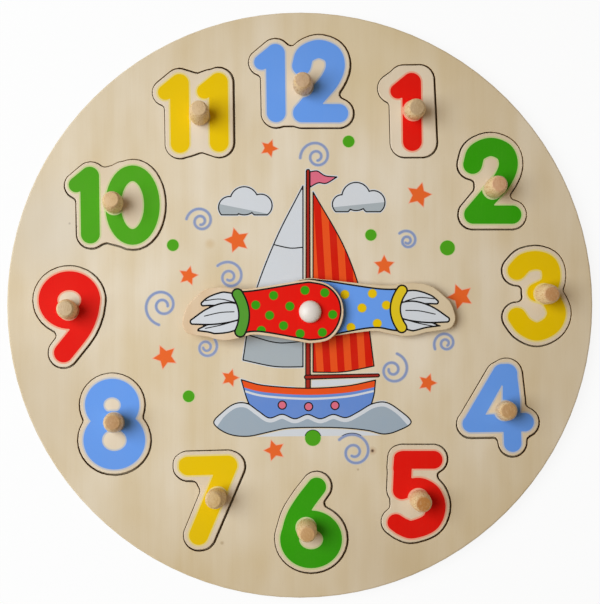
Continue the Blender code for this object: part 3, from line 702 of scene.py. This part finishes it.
def screen_ink(name, colour, thin):
    """Satin screen ink; where it is thin, the fibres of the wood mottle its colour a little."""
    material, add = new_material(name)
    place = add("TexCoord").outputs["Object"]
    along = add("Mapping", {"Scale": (2000, 40, 2000)}, {"Vector": place})
    fibres = add("TexNoise", {"Scale": 1.0, "Detail": 2.0}, {"Vector": along})
    patches = add("TexNoise", {"Scale": 90.0, "Detail": 2.0}, {"Vector": place})
    uneven = add("Math", {"operation": "MULTIPLY_ADD", 1: 0.6}, {0: fibres, 2: patches})
    amount = add("MapRange", {"From Min": 0.55, "From Max": 1.1, "To Max": thin}, {"Value": uneven})
    wood = add("Mix", {6: linear(colour), 7: linear("#D9C08F")}, {0: amount})
    satin = add("MapRange", {"To Min": 0.4, "To Max": 0.6}, {"Value": fibres})
    # Painted shade: the ink darkens towards the rim
    paint = rim_shaded(add, place, wood, "#F2F1F0")
    return finished(material, {"Base Color": paint, "Roughness": satin, "Specular IOR Level": 0.06},
                    fibres, 0.12, 0.04)


# The colour of each ink, and how much the wood shows through. The paler green is the dots' own colour, and
# on numeral 10 painted sheen
INKS = {
    "blue": ("#6EA5F8", 0.02), "yellow": ("#F4CB00", 0.015), "green": ("#38A40C", 0.015),
    "dot_green_and_painted_sheen": ("#4FAA19", 0.02), "red": ("#F0170C", 0.01), "blue_undercoat": ("#CBCFD8", 0.2),
    "yellow_undercoat": ("#F1DE8C", 0.15), "green_undercoat": ("#D0DC9C", 0.15),
    "red_undercoat": ("#FBAE92", 0.15), "orange": ("#F66C2C", 0.02),
    "bright_orange": ("#F6571E", 0.015), "violet_blue": ("#8E9FCA", 0.12),
    "violet_undercoat": ("#D2D0CC", 0.3), "yellow_over_cloth": ("#B9B46A", 0.05),
    "green_over_cloth": ("#A8681C", 0.05), "stripe_red": ("#DC1A06", 0.02),
    "dark_red": ("#A91E14", 0.03), "pink": ("#E8718A", 0.06), "grey": ("#B2BBC0", 0.05),
    "wave_grey": ("#A6B5C2", 0.05), "white": ("#DFE3E8", 0.05), "hull_blue": ("#6B93DC", 0.05),
    "band_green": ("#54A030", 0.05), "band_yellow": ("#EDCE1C", 0.05), "black": ("#0D0B0A", 0.01),
}
inks = {name: screen_ink(f"screen_ink_{name}", *row) for name, row in INKS.items()}
print("inks mixed:", len(inks))

# %% [markdown]
# ## Digits
#
# Each digit is a few strokes with round ends, as the wooden pieces are. The numbers are shares of
# the digit's height, and they repeat the model's own, so the ink lies evenly inside the wooden
# edge. Round every peg the wood was left bare, so that the glue could hold, and the pale undercoat
# shows as a thin line round each coloured shape.

# %% Strokes of the digits
SINGLE_HEIGHT, PAIRED_HEIGHT = 45.99 * MM, 40.5 * MM
STROKE_WIDTH, DIGIT_STEP = 9.704 * MM, 0.4 * MM
DIGITS = {
    "0": [("oval", (0.0, 0.0, 0.244, 0.401, 0.83))],
    "1": [
        ("line", [(0.07, 0.378, 1.0), (0.08, -0.378, 1.0)]),
        ("line", [(-0.105, 0.265, 0.8), (0.07, 0.378, 1.0)]),
    ],
    "2": [
        ("curve", [(-0.228, 0.19, 1.0), (-0.18, 0.325, 1.0), (-0.02, 0.393, 0.97), (0.14, 0.33, 1.0),
                   (0.185, 0.185, 1.0), (0.12, 0.015, 1.0), (-0.025, -0.16, 1.0), (-0.22, -0.385, 0.97)]),
        ("line", [(-0.22, -0.39, 0.97), (0.23, -0.39, 0.97)]),
    ],
    "3": [
        ("curve", [(-0.224, 0.283, 1.0), (-0.136, 0.37, 1.0), (0.003, 0.397, 0.97), (0.12, 0.35, 0.97),
                   (0.158, 0.235, 0.97), (0.125, 0.115, 0.97), (-0.01, 0.04, 0.95)]),
        ("curve", [(-0.01, 0.04, 0.95), (0.125, -0.01, 0.97), (0.214, -0.175, 1.0), (0.16, -0.32, 1.0),
                   (0.003, -0.397, 0.97), (-0.14, -0.34, 0.97), (-0.224, -0.233, 0.97)]),
    ],
    "4": [
        ("line", [(0.01, 0.37, 0.8), (-0.311, -0.19, 0.86)]),
        ("line", [(0.045, 0.385, 1.01), (0.103, 0.38, 1.08), (0.142, 0.26, 0.82), (0.151, 0.088, 0.92),
                  (0.167, -0.411, 0.93)]),
        ("line", [(-0.311, -0.19, 0.9), (0.303, -0.171, 0.98)]),
    ],
    "5": [
        ("line", [(-0.151, 0.397, 0.95), (0.197, 0.397, 0.95)]),
        ("line", [(-0.151, 0.397, 0.95), (-0.166, 0.048, 0.95)]),
        ("line", [(-0.178, 0.415, 0.72), (-0.187, 0.3, 0.72)]),
        ("curve", [(-0.166, 0.048, 0.95), (-0.048, 0.08, 0.97), (0.066, 0.077, 1.0), (0.18, 0.0, 1.0),
                   (0.226, -0.152, 1.0), (0.158, -0.318, 1.0), (-0.037, -0.399, 0.95),
                   (-0.15, -0.373, 0.93), (-0.234, -0.32, 0.9)]),
    ],
    "6": [
        ("curve", [(0.061, 0.395, 1.0), (-0.061, 0.235, 1.02), (-0.171, 0.053, 1.02),
                   (-0.237, -0.168, 1.0)]),
        ("oval", (0.0, -0.182, 0.237, 0.214, 1.0)),
    ],
    "7": [
        ("line", [(-0.223, 0.374, 1.0), (0.213, 0.386, 1.0)]),
        ("line", [(-0.262, 0.397, 0.62), (-0.262, 0.357, 0.62)]),
        ("line", [(0.213, 0.381, 1.03), (-0.107, -0.392, 1.02)]),
    ],
    "8": [
        ("oval", (-0.024, 0.208, 0.198, 0.187, 0.98)),
        ("oval", (0.0, -0.181, 0.239, 0.221, 0.98)),
    ],
    "9": [
        ("oval", (-0.002, 0.184, 0.235, 0.213, 1.0)),
        ("curve", [(0.234, 0.198, 1.0), (0.208, 0.034, 1.0), (0.126, -0.147, 1.02),
                   (-0.066, -0.394, 1.02)]),
    ],
}

# Each numeral: its centre in millimetres, its ink, and its digits with their place and size
NUMERAL_PRINTS = {
    1: (54.42, 98.94, "red", [("1", 0.0, 0.0, 0.872)]),
    2: (98.6, 63.6, "green", [("2", 0.0, 0.0, 0.963)]),
    3: (121.53, 4.71, "yellow", [("3", 0.0, 0.0, 1.0)]),
    4: (101.55, -52.29, "blue", [("4", 0.0, 0.0, 0.974)]),
    5: (59.67, -97.0, "red", [("5", 0.0, 0.0, 0.974)]),
    6: (5.79, -111.5, "green", [("6", 0.0, 0.0, 1.01)]),
    7: (-46.83, -99.75, "yellow", [("7", 0.0, 0.0, 1.008)]),
    8: (-95.0, -60.81, "blue", [("8", 0.0, 0.0, 1.01)]),
    9: (-117.9, -6.03, "red", [("9", 0.0, 0.0, 1.015)]),
    10: (-94.5, 51.21, "green", [("1", -0.392, 0.0, 0.968), ("0", 0.218, 0.0, 1.005)]),
    11: (-54.54, 98.31, "yellow", [("1", -0.247, -0.004, 1.005), ("1", 0.247, 0.01, 1.005)]),
    12: (0.72, 114.12, "blue", [("1", -0.396, -0.01, 0.993), ("2", 0.24, 0.0125, 1.037)]),
}

# %% Print the digits
BARE_RADIUS, UNDERCOAT_RIM = 5.5 * MM, 0.82 * MM


def digit_strokes(centre, digits, height):
    """Rows of x, y and half width in metres for every stroke of a numeral."""
    strokes = []
    for digit, place_x, place_y, size in digits:
        for kind, shares in DIGITS[digit]:
            if kind == "oval":
                loop = oval(*shares[:4])
                rows = np.column_stack([np.vstack([loop, loop[:1]]), np.full(len(loop) + 1, shares[4])])
            else:
                rows = smooth_curve(shares) if kind == "curve" else np.array(shares)
            rows = (rows * (size, size, 1.0) + (place_x, place_y, 0.0)) * (height, height, STROKE_WIDTH / 2)
            strokes.append(rows + (*centre, 0.0))
    return strokes


for hour, (centre_x, centre_y, ink, digits) in NUMERAL_PRINTS.items():
    height = SINGLE_HEIGHT if len(digits) == 1 else PAIRED_HEIGHT
    strokes = digit_strokes((centre_x * MM, centre_y * MM), digits, height)
    grid = grid_round(np.vstack(strokes)[:, :2], STROKE_WIDTH, DIGIT_STEP)
    inked = stroke_field(grid, strokes)
    peg_x, peg_y = pegs[hour]
    from_peg = np.hypot(grid[0] - peg_x, grid[1] - peg_y)
    for coat, suffix, grow in [(1, "_undercoat", UNDERCOAT_RIM), (2, "", 0.0)]:
        field = shared(inked - grow, BARE_RADIUS - grow - from_peg)
        # Numeral 10 gets the paler green: painted sheen, the veil of the window's reflection on its satin
        # ink
        mixed = inks["dot_green_and_painted_sheen" if hour == 10 and coat == 2 else ink + suffix]
        print_ink(f"numeral_{hour}_ink{suffix}", traced(grid, field), FACE_TOP, coat, mixed,
                  f"numeral_{hour}_piece")
print("numerals printed:", len(NUMERAL_PRINTS))

# %% [markdown]
# ## Stars, dots and spirals
#
# Small shapes are scattered over the board: orange five-pointed stars, green dots and blue
# spirals. Stars and dots are exact outlines and need no tracing. A spiral is a line of even width,
# and its outline runs out along one side and back along the other. Its turns open up towards the
# outside, which a power of the distance along it gives.

# %% Shapes for the scattered print
STARS = [
    (-15.7, 80.3, 4.4, -3), (-32.2, 33.2, 6.3, 177), (-57.1, 15.0, 4.8, 5), (61.0, 56.4, 6.3, 3),
    (43.2, 20.3, 5.1, 90), (82.2, 4.4, 6.5, 184), (-69.0, -26.5, 6.1, 187), (-35.7, -37.3, 4.4, 2),
    (-13.0, -74.4, 5.3, 180), (65.4, -39.8, 4.6, -1),
]
DOTS = [
    (25.0, 83.8, 3.0), (-65.0, 30.7, 3.0), (36.4, 35.9, 2.9), (75.6, 29.3, 3.8), (-56.9, -46.7, 3.0),
    (6.7, -68.1, 4.0),
]
SPIRALS = [
    (8.74, 76.06, 8.54, 185, 626, 1.82, 2.07), (-50.71, 43.03, 7.4, 172, 627, 1.79, 1.91),
    (-35.97, 14.54, 8.3, 138, 625, 1.85, 1.95), (55.08, 32.98, 5.49, 137, 631, 1.88, 1.43),
    (-70.19, -0.18, 10.13, 259, 628, 1.87, 2.55), (-47.87, -21.57, 5.84, 41, 573, 1.69, 1.65),
    (74.69, -19.52, 6.19, 209, 622, 1.72, 1.49), (47.56, -33.13, 8.53, 75, 622, 1.78, 2.1),
    (27.9, -75.2, 9.9, 141, 625, 1.85, 2.4),
]


def star_loop(centre_x, centre_y, radius, tip_degrees, grow=0.0):
    """A five-pointed star in millimetres; grow moves its edges out and keeps its corners sharp."""
    inner = 0.5 * radius
    edge = math.sqrt(radius ** 2 + inner ** 2 - 2 * radius * inner * math.cos(math.radians(36)))
    reach = 1 + grow * edge / (radius * inner * math.sin(math.radians(36)))
    angles = np.radians(tip_degrees + 36.0 * np.arange(10))
    radii = np.where(np.arange(10) % 2 == 0, radius, inner) * reach
    return np.column_stack([centre_x + radii * np.cos(angles), centre_y + radii * np.sin(angles)])


def spiral_loop(centre_x, centre_y, radius, start_degrees, turn_degrees, power, core, half_width):
    """The outline of a spiral line in millimetres, from its outer end in to its middle and back."""
    along = np.linspace(0.0, 1.0, 90)
    angles = np.radians(start_degrees - turn_degrees * along)
    radii = core + (radius - core) * (1 - along) ** power
    line = np.column_stack([centre_x + radii * np.cos(angles), centre_y + radii * np.sin(angles)])
    run = np.gradient(line, axis=0)
    heading = np.arctan2(run[:, 1], run[:, 0])
    side = half_width * np.column_stack([-np.sin(heading), np.cos(heading)])

    def cap(centre, middle):
        turns = middle + np.radians(np.linspace(60, -60, 5))
        return centre + half_width * np.column_stack([np.cos(turns), np.sin(turns)])

    return np.vstack([line + side, cap(line[-1], heading[-1]), (line - side)[::-1],
                      cap(line[0], heading[0] + math.pi)])


# %% Print the scattered shapes
HALO, SPIRAL_HALF = 0.35, 0.62
for label, ink, halo, shapes in [
    ("stars", "orange", "red_undercoat", [(star_loop(*row), star_loop(*row, grow=HALO)) for row in STARS]),
    ("dots", "dot_green_and_painted_sheen", "green_undercoat",
     [(oval(x, y, r, r), oval(x, y, r + HALO, r + HALO)) for x, y, r in DOTS]),
    ("spirals", "violet_blue", "violet_undercoat",
     [(spiral_loop(*row, SPIRAL_HALF), spiral_loop(*row, SPIRAL_HALF + HALO)) for row in SPIRALS]),
]:
    for number, (loop, wide) in enumerate(shapes, 1):
        print_ink(f"{label}_{number}_halo", [wide * MM], FACE_TOP, 1, inks[halo], "board")
        print_ink(f"{label}_{number}", [loop * MM], FACE_TOP, 2, inks[ink], "board")
print("stars, dots and spirals:", len(STARS), len(DOTS), len(SPIRALS))

# %% [markdown]
# ## A sailing boat in the middle
#
# The middle of the board has a picture in flat colours with black outlines, and here it is a small
# sailing boat under two clouds. All of its shapes share one grid, so they can be cut with each
# other: the waves take a bite out of the hull, and the stripes are kept inside the sail. Every
# shape is printed twice, first in black and a little larger, then in its colour and a little
# smaller, and the black that stays uncovered is the outline.

# %% The picture's shapes, in millimetres from the middle of the board
def chained(*runs):
    """A closed loop of smooth runs that meet in corners."""
    return np.vstack([smooth_curve(run)[:-1] if len(run) > 2 else np.array(run[:1], float) for run in runs])


MAIN_SAIL = chained(
    [(6.8, 57.9), (6.8, -34.3)],
    [(6.8, -34.3), (22.0, -34.2), (38.0, -31.2)],
    [(38.0, -31.2), (33.6, -2.5), (23.4, 28.2), (6.8, 57.9)],
)
JIB = chained(
    [(1.6, 61.0), (-12.4, 33.3), (-23.8, 2.6), (-29.1, -28.1)],
    [(-29.1, -28.1), (-13.0, -31.4), (1.6, -31.6)],
    [(1.6, -31.6), (1.6, 61.0)],
)
PENNANT = chained(
    [(5.2, 68.2), (9.0, 68.6), (13.0, 66.2), (19.0, 65.6)],
    [(19.0, 65.6), (13.6, 62.4), (9.4, 62.6), (5.2, 60.4)],
    [(5.2, 60.4), (5.2, 68.2)],
)
SHEER = smooth_curve([(-30.0, -38.2), (-18.0, -41.2), (4.0, -42.6), (24.0, -41.4), (38.8, -38.4)])
HULL = np.vstack([SHEER[:-1], chained(
    [(38.8, -38.4), (37.6, -47.5), (33.0, -60.0)],
    [(33.0, -60.0), (-19.0, -60.0)],
    [(-19.0, -60.0), (-26.0, -50.5), (-30.0, -38.2)],
)])
CREST = [
    (-44.0, -60.5), (-40.0, -55.2), (-33.5, -50.6), (-27.0, -50.4), (-21.0, -54.4), (-15.5, -57.8),
    (-9.0, -55.9), (-2.5, -58.2), (4.0, -56.0), (10.5, -58.2), (17.0, -56.0), (23.5, -57.6),
    (30.0, -54.6), (37.0, -50.6), (44.0, -49.8), (51.0, -53.8), (57.0, -60.0),
]
WAVES = smooth_curve(CREST + [
    (50.0, -64.4), (43.0, -66.0), (35.0, -64.2), (24.0, -63.0), (10.0, -62.6), (-6.0, -63.0),
    (-16.0, -65.0), (-27.0, -67.2), (-37.0, -65.8),
], closed=True)
BATTENS = [
    [(-13.5, 31.0), (-5.0, 29.2), (1.6, 29.6)],
    [(-22.0, 8.0), (-9.0, 4.6), (1.6, 5.0)],
    [(-27.4, -15.0), (-12.0, -19.2), (1.6, -18.6)],
]
PORTHOLES, PORTHOLE_RADIUS = [(-9.0, -51.2), (4.5, -52.0), (18.0, -51.4)], 2.1
CLOUDS = [
    [(-36.0, 50.0, 5.6), (-28.5, 53.4, 7.2), (-20.0, 51.0, 5.8)],
    [(21.6, 51.6, 4.9), (28.8, 55.6, 7.2), (37.6, 52.6, 6.0)],
]
CLOUD_BASES = [46.2, 47.8]

# %% Fields of the picture on one grid
LINE, PICTURE_HALO, GRID_STEP = 0.32, 0.4, 0.32
picture = grid_round([(-46, -70), (60, 72)], 0.0, GRID_STEP)
x, y = picture
sail, jib, pennant, hull, waves = [
    shape_field(picture, loop) for loop in (MAIN_SAIL, JIB, PENNANT, HULL, WAVES)
]
mast = stroke_field(picture, [np.array([(4.2, -43.0, 1.15), (4.2, 68.6, 0.85)])])
boom = stroke_field(picture, [np.array([(3.4, -36.9, 1.0), (40.0, -36.0, 0.75)])])
hull = shared(hull, -waves)
mast = shared(mast, -joined(hull, boom))
clouds = [
    shared(joined(*[np.hypot(x - cx, y - cy) - r for cx, cy, r in puffs]), base - y)
    for puffs, base in zip(CLOUDS, CLOUD_BASES)
]
sheer_band = line_field(picture, SHEER, 3.4)
stripe = np.abs((x - 1.2 + 0.06 * y) % 7.2 - 3.6) - 1.8
belt = line_field(picture, SHEER - (0.0, 5.4), 0.55)
crest = line_field(picture, smooth_curve(CREST), 2.3)
battens = joined(*[line_field(picture, smooth_curve(rows), 0.3) for rows in BATTENS])
ports = joined(*[np.hypot(x - px, y - py) for px, py in PORTHOLES]) - PORTHOLE_RADIUS
panels = shared(jib + LINE, joined(np.abs(y - 17.3 - 0.12 * (x + 8)) - 12.0, -y - 17.0 - 0.1 * x))

# %% Print the picture
SHAPES = [
    ("mast", mast, "dark_red"), ("boom", boom, "dark_red"), ("pennant", pennant, "pink"),
    ("main_sail", sail, "bright_orange"), ("jib", jib, "grey"), ("hull", hull, "hull_blue"),
    ("waves", waves, "wave_grey"), ("cloud_left", clouds[0], "grey"), ("cloud_right", clouds[1], "grey"),
]
grid = [axis * MM for axis in picture]


def print_picture(name, field, coat, ink):
    print_ink(f"picture_{name}", traced(grid, field * MM), FACE_TOP, coat, inks[ink], "board")


everything = joined(*[field for _, field, _ in SHAPES])
print_picture("halo", everything - LINE - PICTURE_HALO, 1, "white")
print_picture("outlines", everything - LINE, 2, "black")
for name, field, ink in SHAPES:
    print_picture(name, field + LINE, 3, ink)

details = [
    ("sail_stripes", shared(sail + LINE, stripe), "stripe_red"),
    ("jib_panels", panels, "white"),
    ("jib_battens", shared(jib, battens), "black"),
    ("hull_rim", shared(hull + LINE, sheer_band), "bright_orange"),
    ("hull_belt", shared(hull + LINE, belt), "white"),
    ("portholes_rim", ports - LINE, "black"),
    ("foam", shared(waves + LINE, crest), "white"),
    ("cloud_left_light", shared(clouds[0] + LINE, 43.5 - y - 0.2 * x), "white"),
    ("cloud_right_light", shared(clouds[1] + LINE, 48.4 - y + 0.1 * x), "white"),
]
for name, field, ink in details:
    print_picture(name, field, 4, ink)
print_picture("portholes", ports + LINE, 5, "pink")
print("picture shapes:", len(SHAPES) + len(details) + 3)

# %% [markdown]
# ## Printed hands
#
# Both hands are sawn to one bent outline, and the hour hand is its mirror image, so each points a
# little downwards when they lie level. The print stops up to two millimetres short of the edge,
# and the wood beyond shows as a bare rim. The minute hand is blue with yellow dots and the hour
# hand red with green ones. A bowed band closes the coloured part like a cuff, and out of it come
# three pale petals. The outline repeats the model's own, in numbers that are shares of the hand's
# sizes.

# %% Outline of a hand
# Along the blade and at the waist: a share of the reach and of half the width there. Round the
# hub: an angle in degrees and a share of the hub's radius.
UPPER_BLADE = [(1.0, -0.37), (0.972, 0.12), (0.93, 0.385), (0.86, 0.715), (0.79, 0.875), (0.68, 0.915)]
WAIST = [(0.49, 1.0), (0.41, -1.0)]
HUB = [(72.0, 1.03), (95.0, 1.0), (124.0, 1.04), (152.0, 1.06), (180.0, 1.06),
       (208.0, 1.06), (236.0, 1.06), (266.0, 0.99), (288.0, 0.99)]
LOWER_BLADE = [(0.56, -0.99), (0.64, -1.07), (0.72, -1.04), (0.8, -0.935), (0.88, -0.885),
               (0.95, -0.825), (0.985, -0.68)]


def hand_loop(reach, hub, waist, blade, side, offset):
    """A bent paddle along X with its hub round the pivot, in millimetres; side -1 mirrors it."""
    upper, lower = [[(reach * a, blade / 2 * b) for a, b in rows] for rows in (UPPER_BLADE, LOWER_BLADE)]
    narrow = [(reach * a, waist / 2 * b) for a, b in WAIST]
    round_hub = [
        (hub / 2 * share * math.cos(math.radians(angle)), hub / 2 * share * math.sin(math.radians(angle)))
        for angle, share in HUB
    ]
    edge = upper + narrow[:1] + round_hub + narrow[1:] + lower
    return smooth_curve([(a, side * b + offset) for a, b in edge], closed=True)


# %% Sizes, band and dots of the two hands, in millimetres from the pivot
# The rim of bare wood changes along x (0) or y (1): places, and its width at each of them
HANDS = {
    "minute_hand": {
        "top": MINUTE_TOP, "turn": 1.0, "side": 1, "loop": hand_loop(74.0, 31.5, 23.3, 27.2, 1, 1.4),
        "band": [(47.1, 10.2), (43.5, 0.6), (46.6, -8.7)], "band half": 2.55,
        "rim": (0, (10.0, 44.0), (0.4, 1.9)),
        "inks": ("blue", "yellow", "band_yellow"), "slot": "blue_hand",
        "dots": [(18.0, 8.6), (20.8, -8.2), (26.6, 1.6), (32.0, 8.8), (34.2, -6.4), (39.0, 2.8)],
    },
    "hour_hand": {
        "top": HOUR_TOP, "turn": 180.0, "side": -1, "loop": hand_loop(64.4, 32.0, 23.1, 27.0, -1, 0.0),
        "band": [(36.6, -8.9), (33.3, 0.3), (35.2, 10.0)], "band half": 2.65,
        "rim": (1, (-5.0, 5.0), (0.9, 1.3)),
        "inks": ("red", "green", "band_green"), "slot": "red_hand",
        "dots": [(-11.4, 1.4), (-7.4, -9.6), (-6.2, 10.4), (2.6, -10.8), (5.0, 11.0), (10.2, -2.8),
                 (13.4, 7.0), (18.4, -8.2), (20.4, 1.8), (24.6, 9.4), (27.4, -3.4)],
    },
}
# Petals beyond the band, from root to tip: distance past the band, y and half width
PETALS = [
    [(0.0, 0.0, 3.6), (7.0, -0.4, 5.0), (15.0, -2.2, 4.2), (24.2, -5.0, 1.3)],
    [(0.0, 4.8, 3.4), (7.0, 6.4, 3.7), (14.6, 5.6, 2.4), (19.0, 4.0, 1.0)],
    [(0.0, -4.8, 3.2), (7.0, -6.8, 3.6), (14.6, -8.4, 2.6), (20.6, -9.4, 1.0)],
]

# %% Print the two hands
EDGE, DOT_RADIUS, DOT_RIM = 0.42, 2.1, 0.3
PETAL_MARGIN, PETAL_ROOT, VEIN_START, VEIN = 2.0, 0.6, 3.4, 0.26
for name, hand in HANDS.items():
    grid = grid_round(hand["loop"], 1.0, GRID_STEP)
    x, y = grid
    paddle = shape_field(grid, hand["loop"])
    band_x, band_y = np.array(hand["band"]).T
    parabola = np.polyfit(band_y, band_x, 2)
    along = np.linspace(band_y.min(), band_y.max(), 17)
    bow = np.column_stack([np.polyval(parabola, along), along])
    band = line_field(grid, bow, hand["band half"])
    bend = np.polyval(parabola, y)
    axis, places, widths = hand["rim"]
    rim = np.interp(grid[axis], places, widths)
    cloth = shared(paddle + rim + EDGE, x - np.minimum(bend, bow[[0, -1], 0].min()))
    root = bow[:, 0].mean() + PETAL_ROOT
    long_petal, *side_petals = [
        stroke_field(grid, [smooth_curve([(root + a, hand["side"] * b, half) for a, b, half in rows])])
        for rows in PETALS
    ]
    past_band = shared(paddle + PETAL_MARGIN + EDGE, bend - x)
    long_petal = shared(long_petal, past_band)
    side_petals = shared(joined(*side_petals), past_band)
    spots = joined(*[np.hypot(x - a, y - b) for a, b in hand["dots"]]) - DOT_RADIUS
    veins = stroke_field(grid, [
        smooth_curve([(root + a + VEIN_START, hand["side"] * b, VEIN) for a, b, _ in rows[:3]])
        for rows in PETALS
    ])
    cloth_ink, dot_ink, band_ink = hand["inks"]
    beyond_band, beyond_petal = EDGE - band, EDGE - long_petal
    inner_cloth = shared(cloth + EDGE, beyond_band)
    films = [
        ("outlines", joined(cloth, band, long_petal, side_petals) - EDGE, 1, "black"),
        ("cloth", inner_cloth, 2, cloth_ink),
        ("long_petal", shared(long_petal + EDGE, beyond_band), 2, "white"),
        ("side_petals", shared(side_petals + EDGE, beyond_band, beyond_petal), 2, "white"),
        ("band", band + EDGE, 2, band_ink),
        ("spots_rim", shared(inner_cloth, spots - DOT_RIM), 3, dot_ink + "_over_cloth"),
        ("spots", shared(inner_cloth, spots), 4, dot_ink),
        ("veins", shared(veins, joined(long_petal, side_petals), beyond_band), 3, "black"),
    ]
    turn = math.radians(hand["turn"])
    place = [(x * math.cos(turn) - y * math.sin(turn)) * MM + PIVOT[0],
             (x * math.sin(turn) + y * math.cos(turn)) * MM + PIVOT[1]]
    for label, field, coat, ink in films:
        print_ink(f"{name}_{label}", traced(place, field), hand["top"], coat, inks[ink], name)
    print(name, "printed with", len(hand["dots"]), "dots")
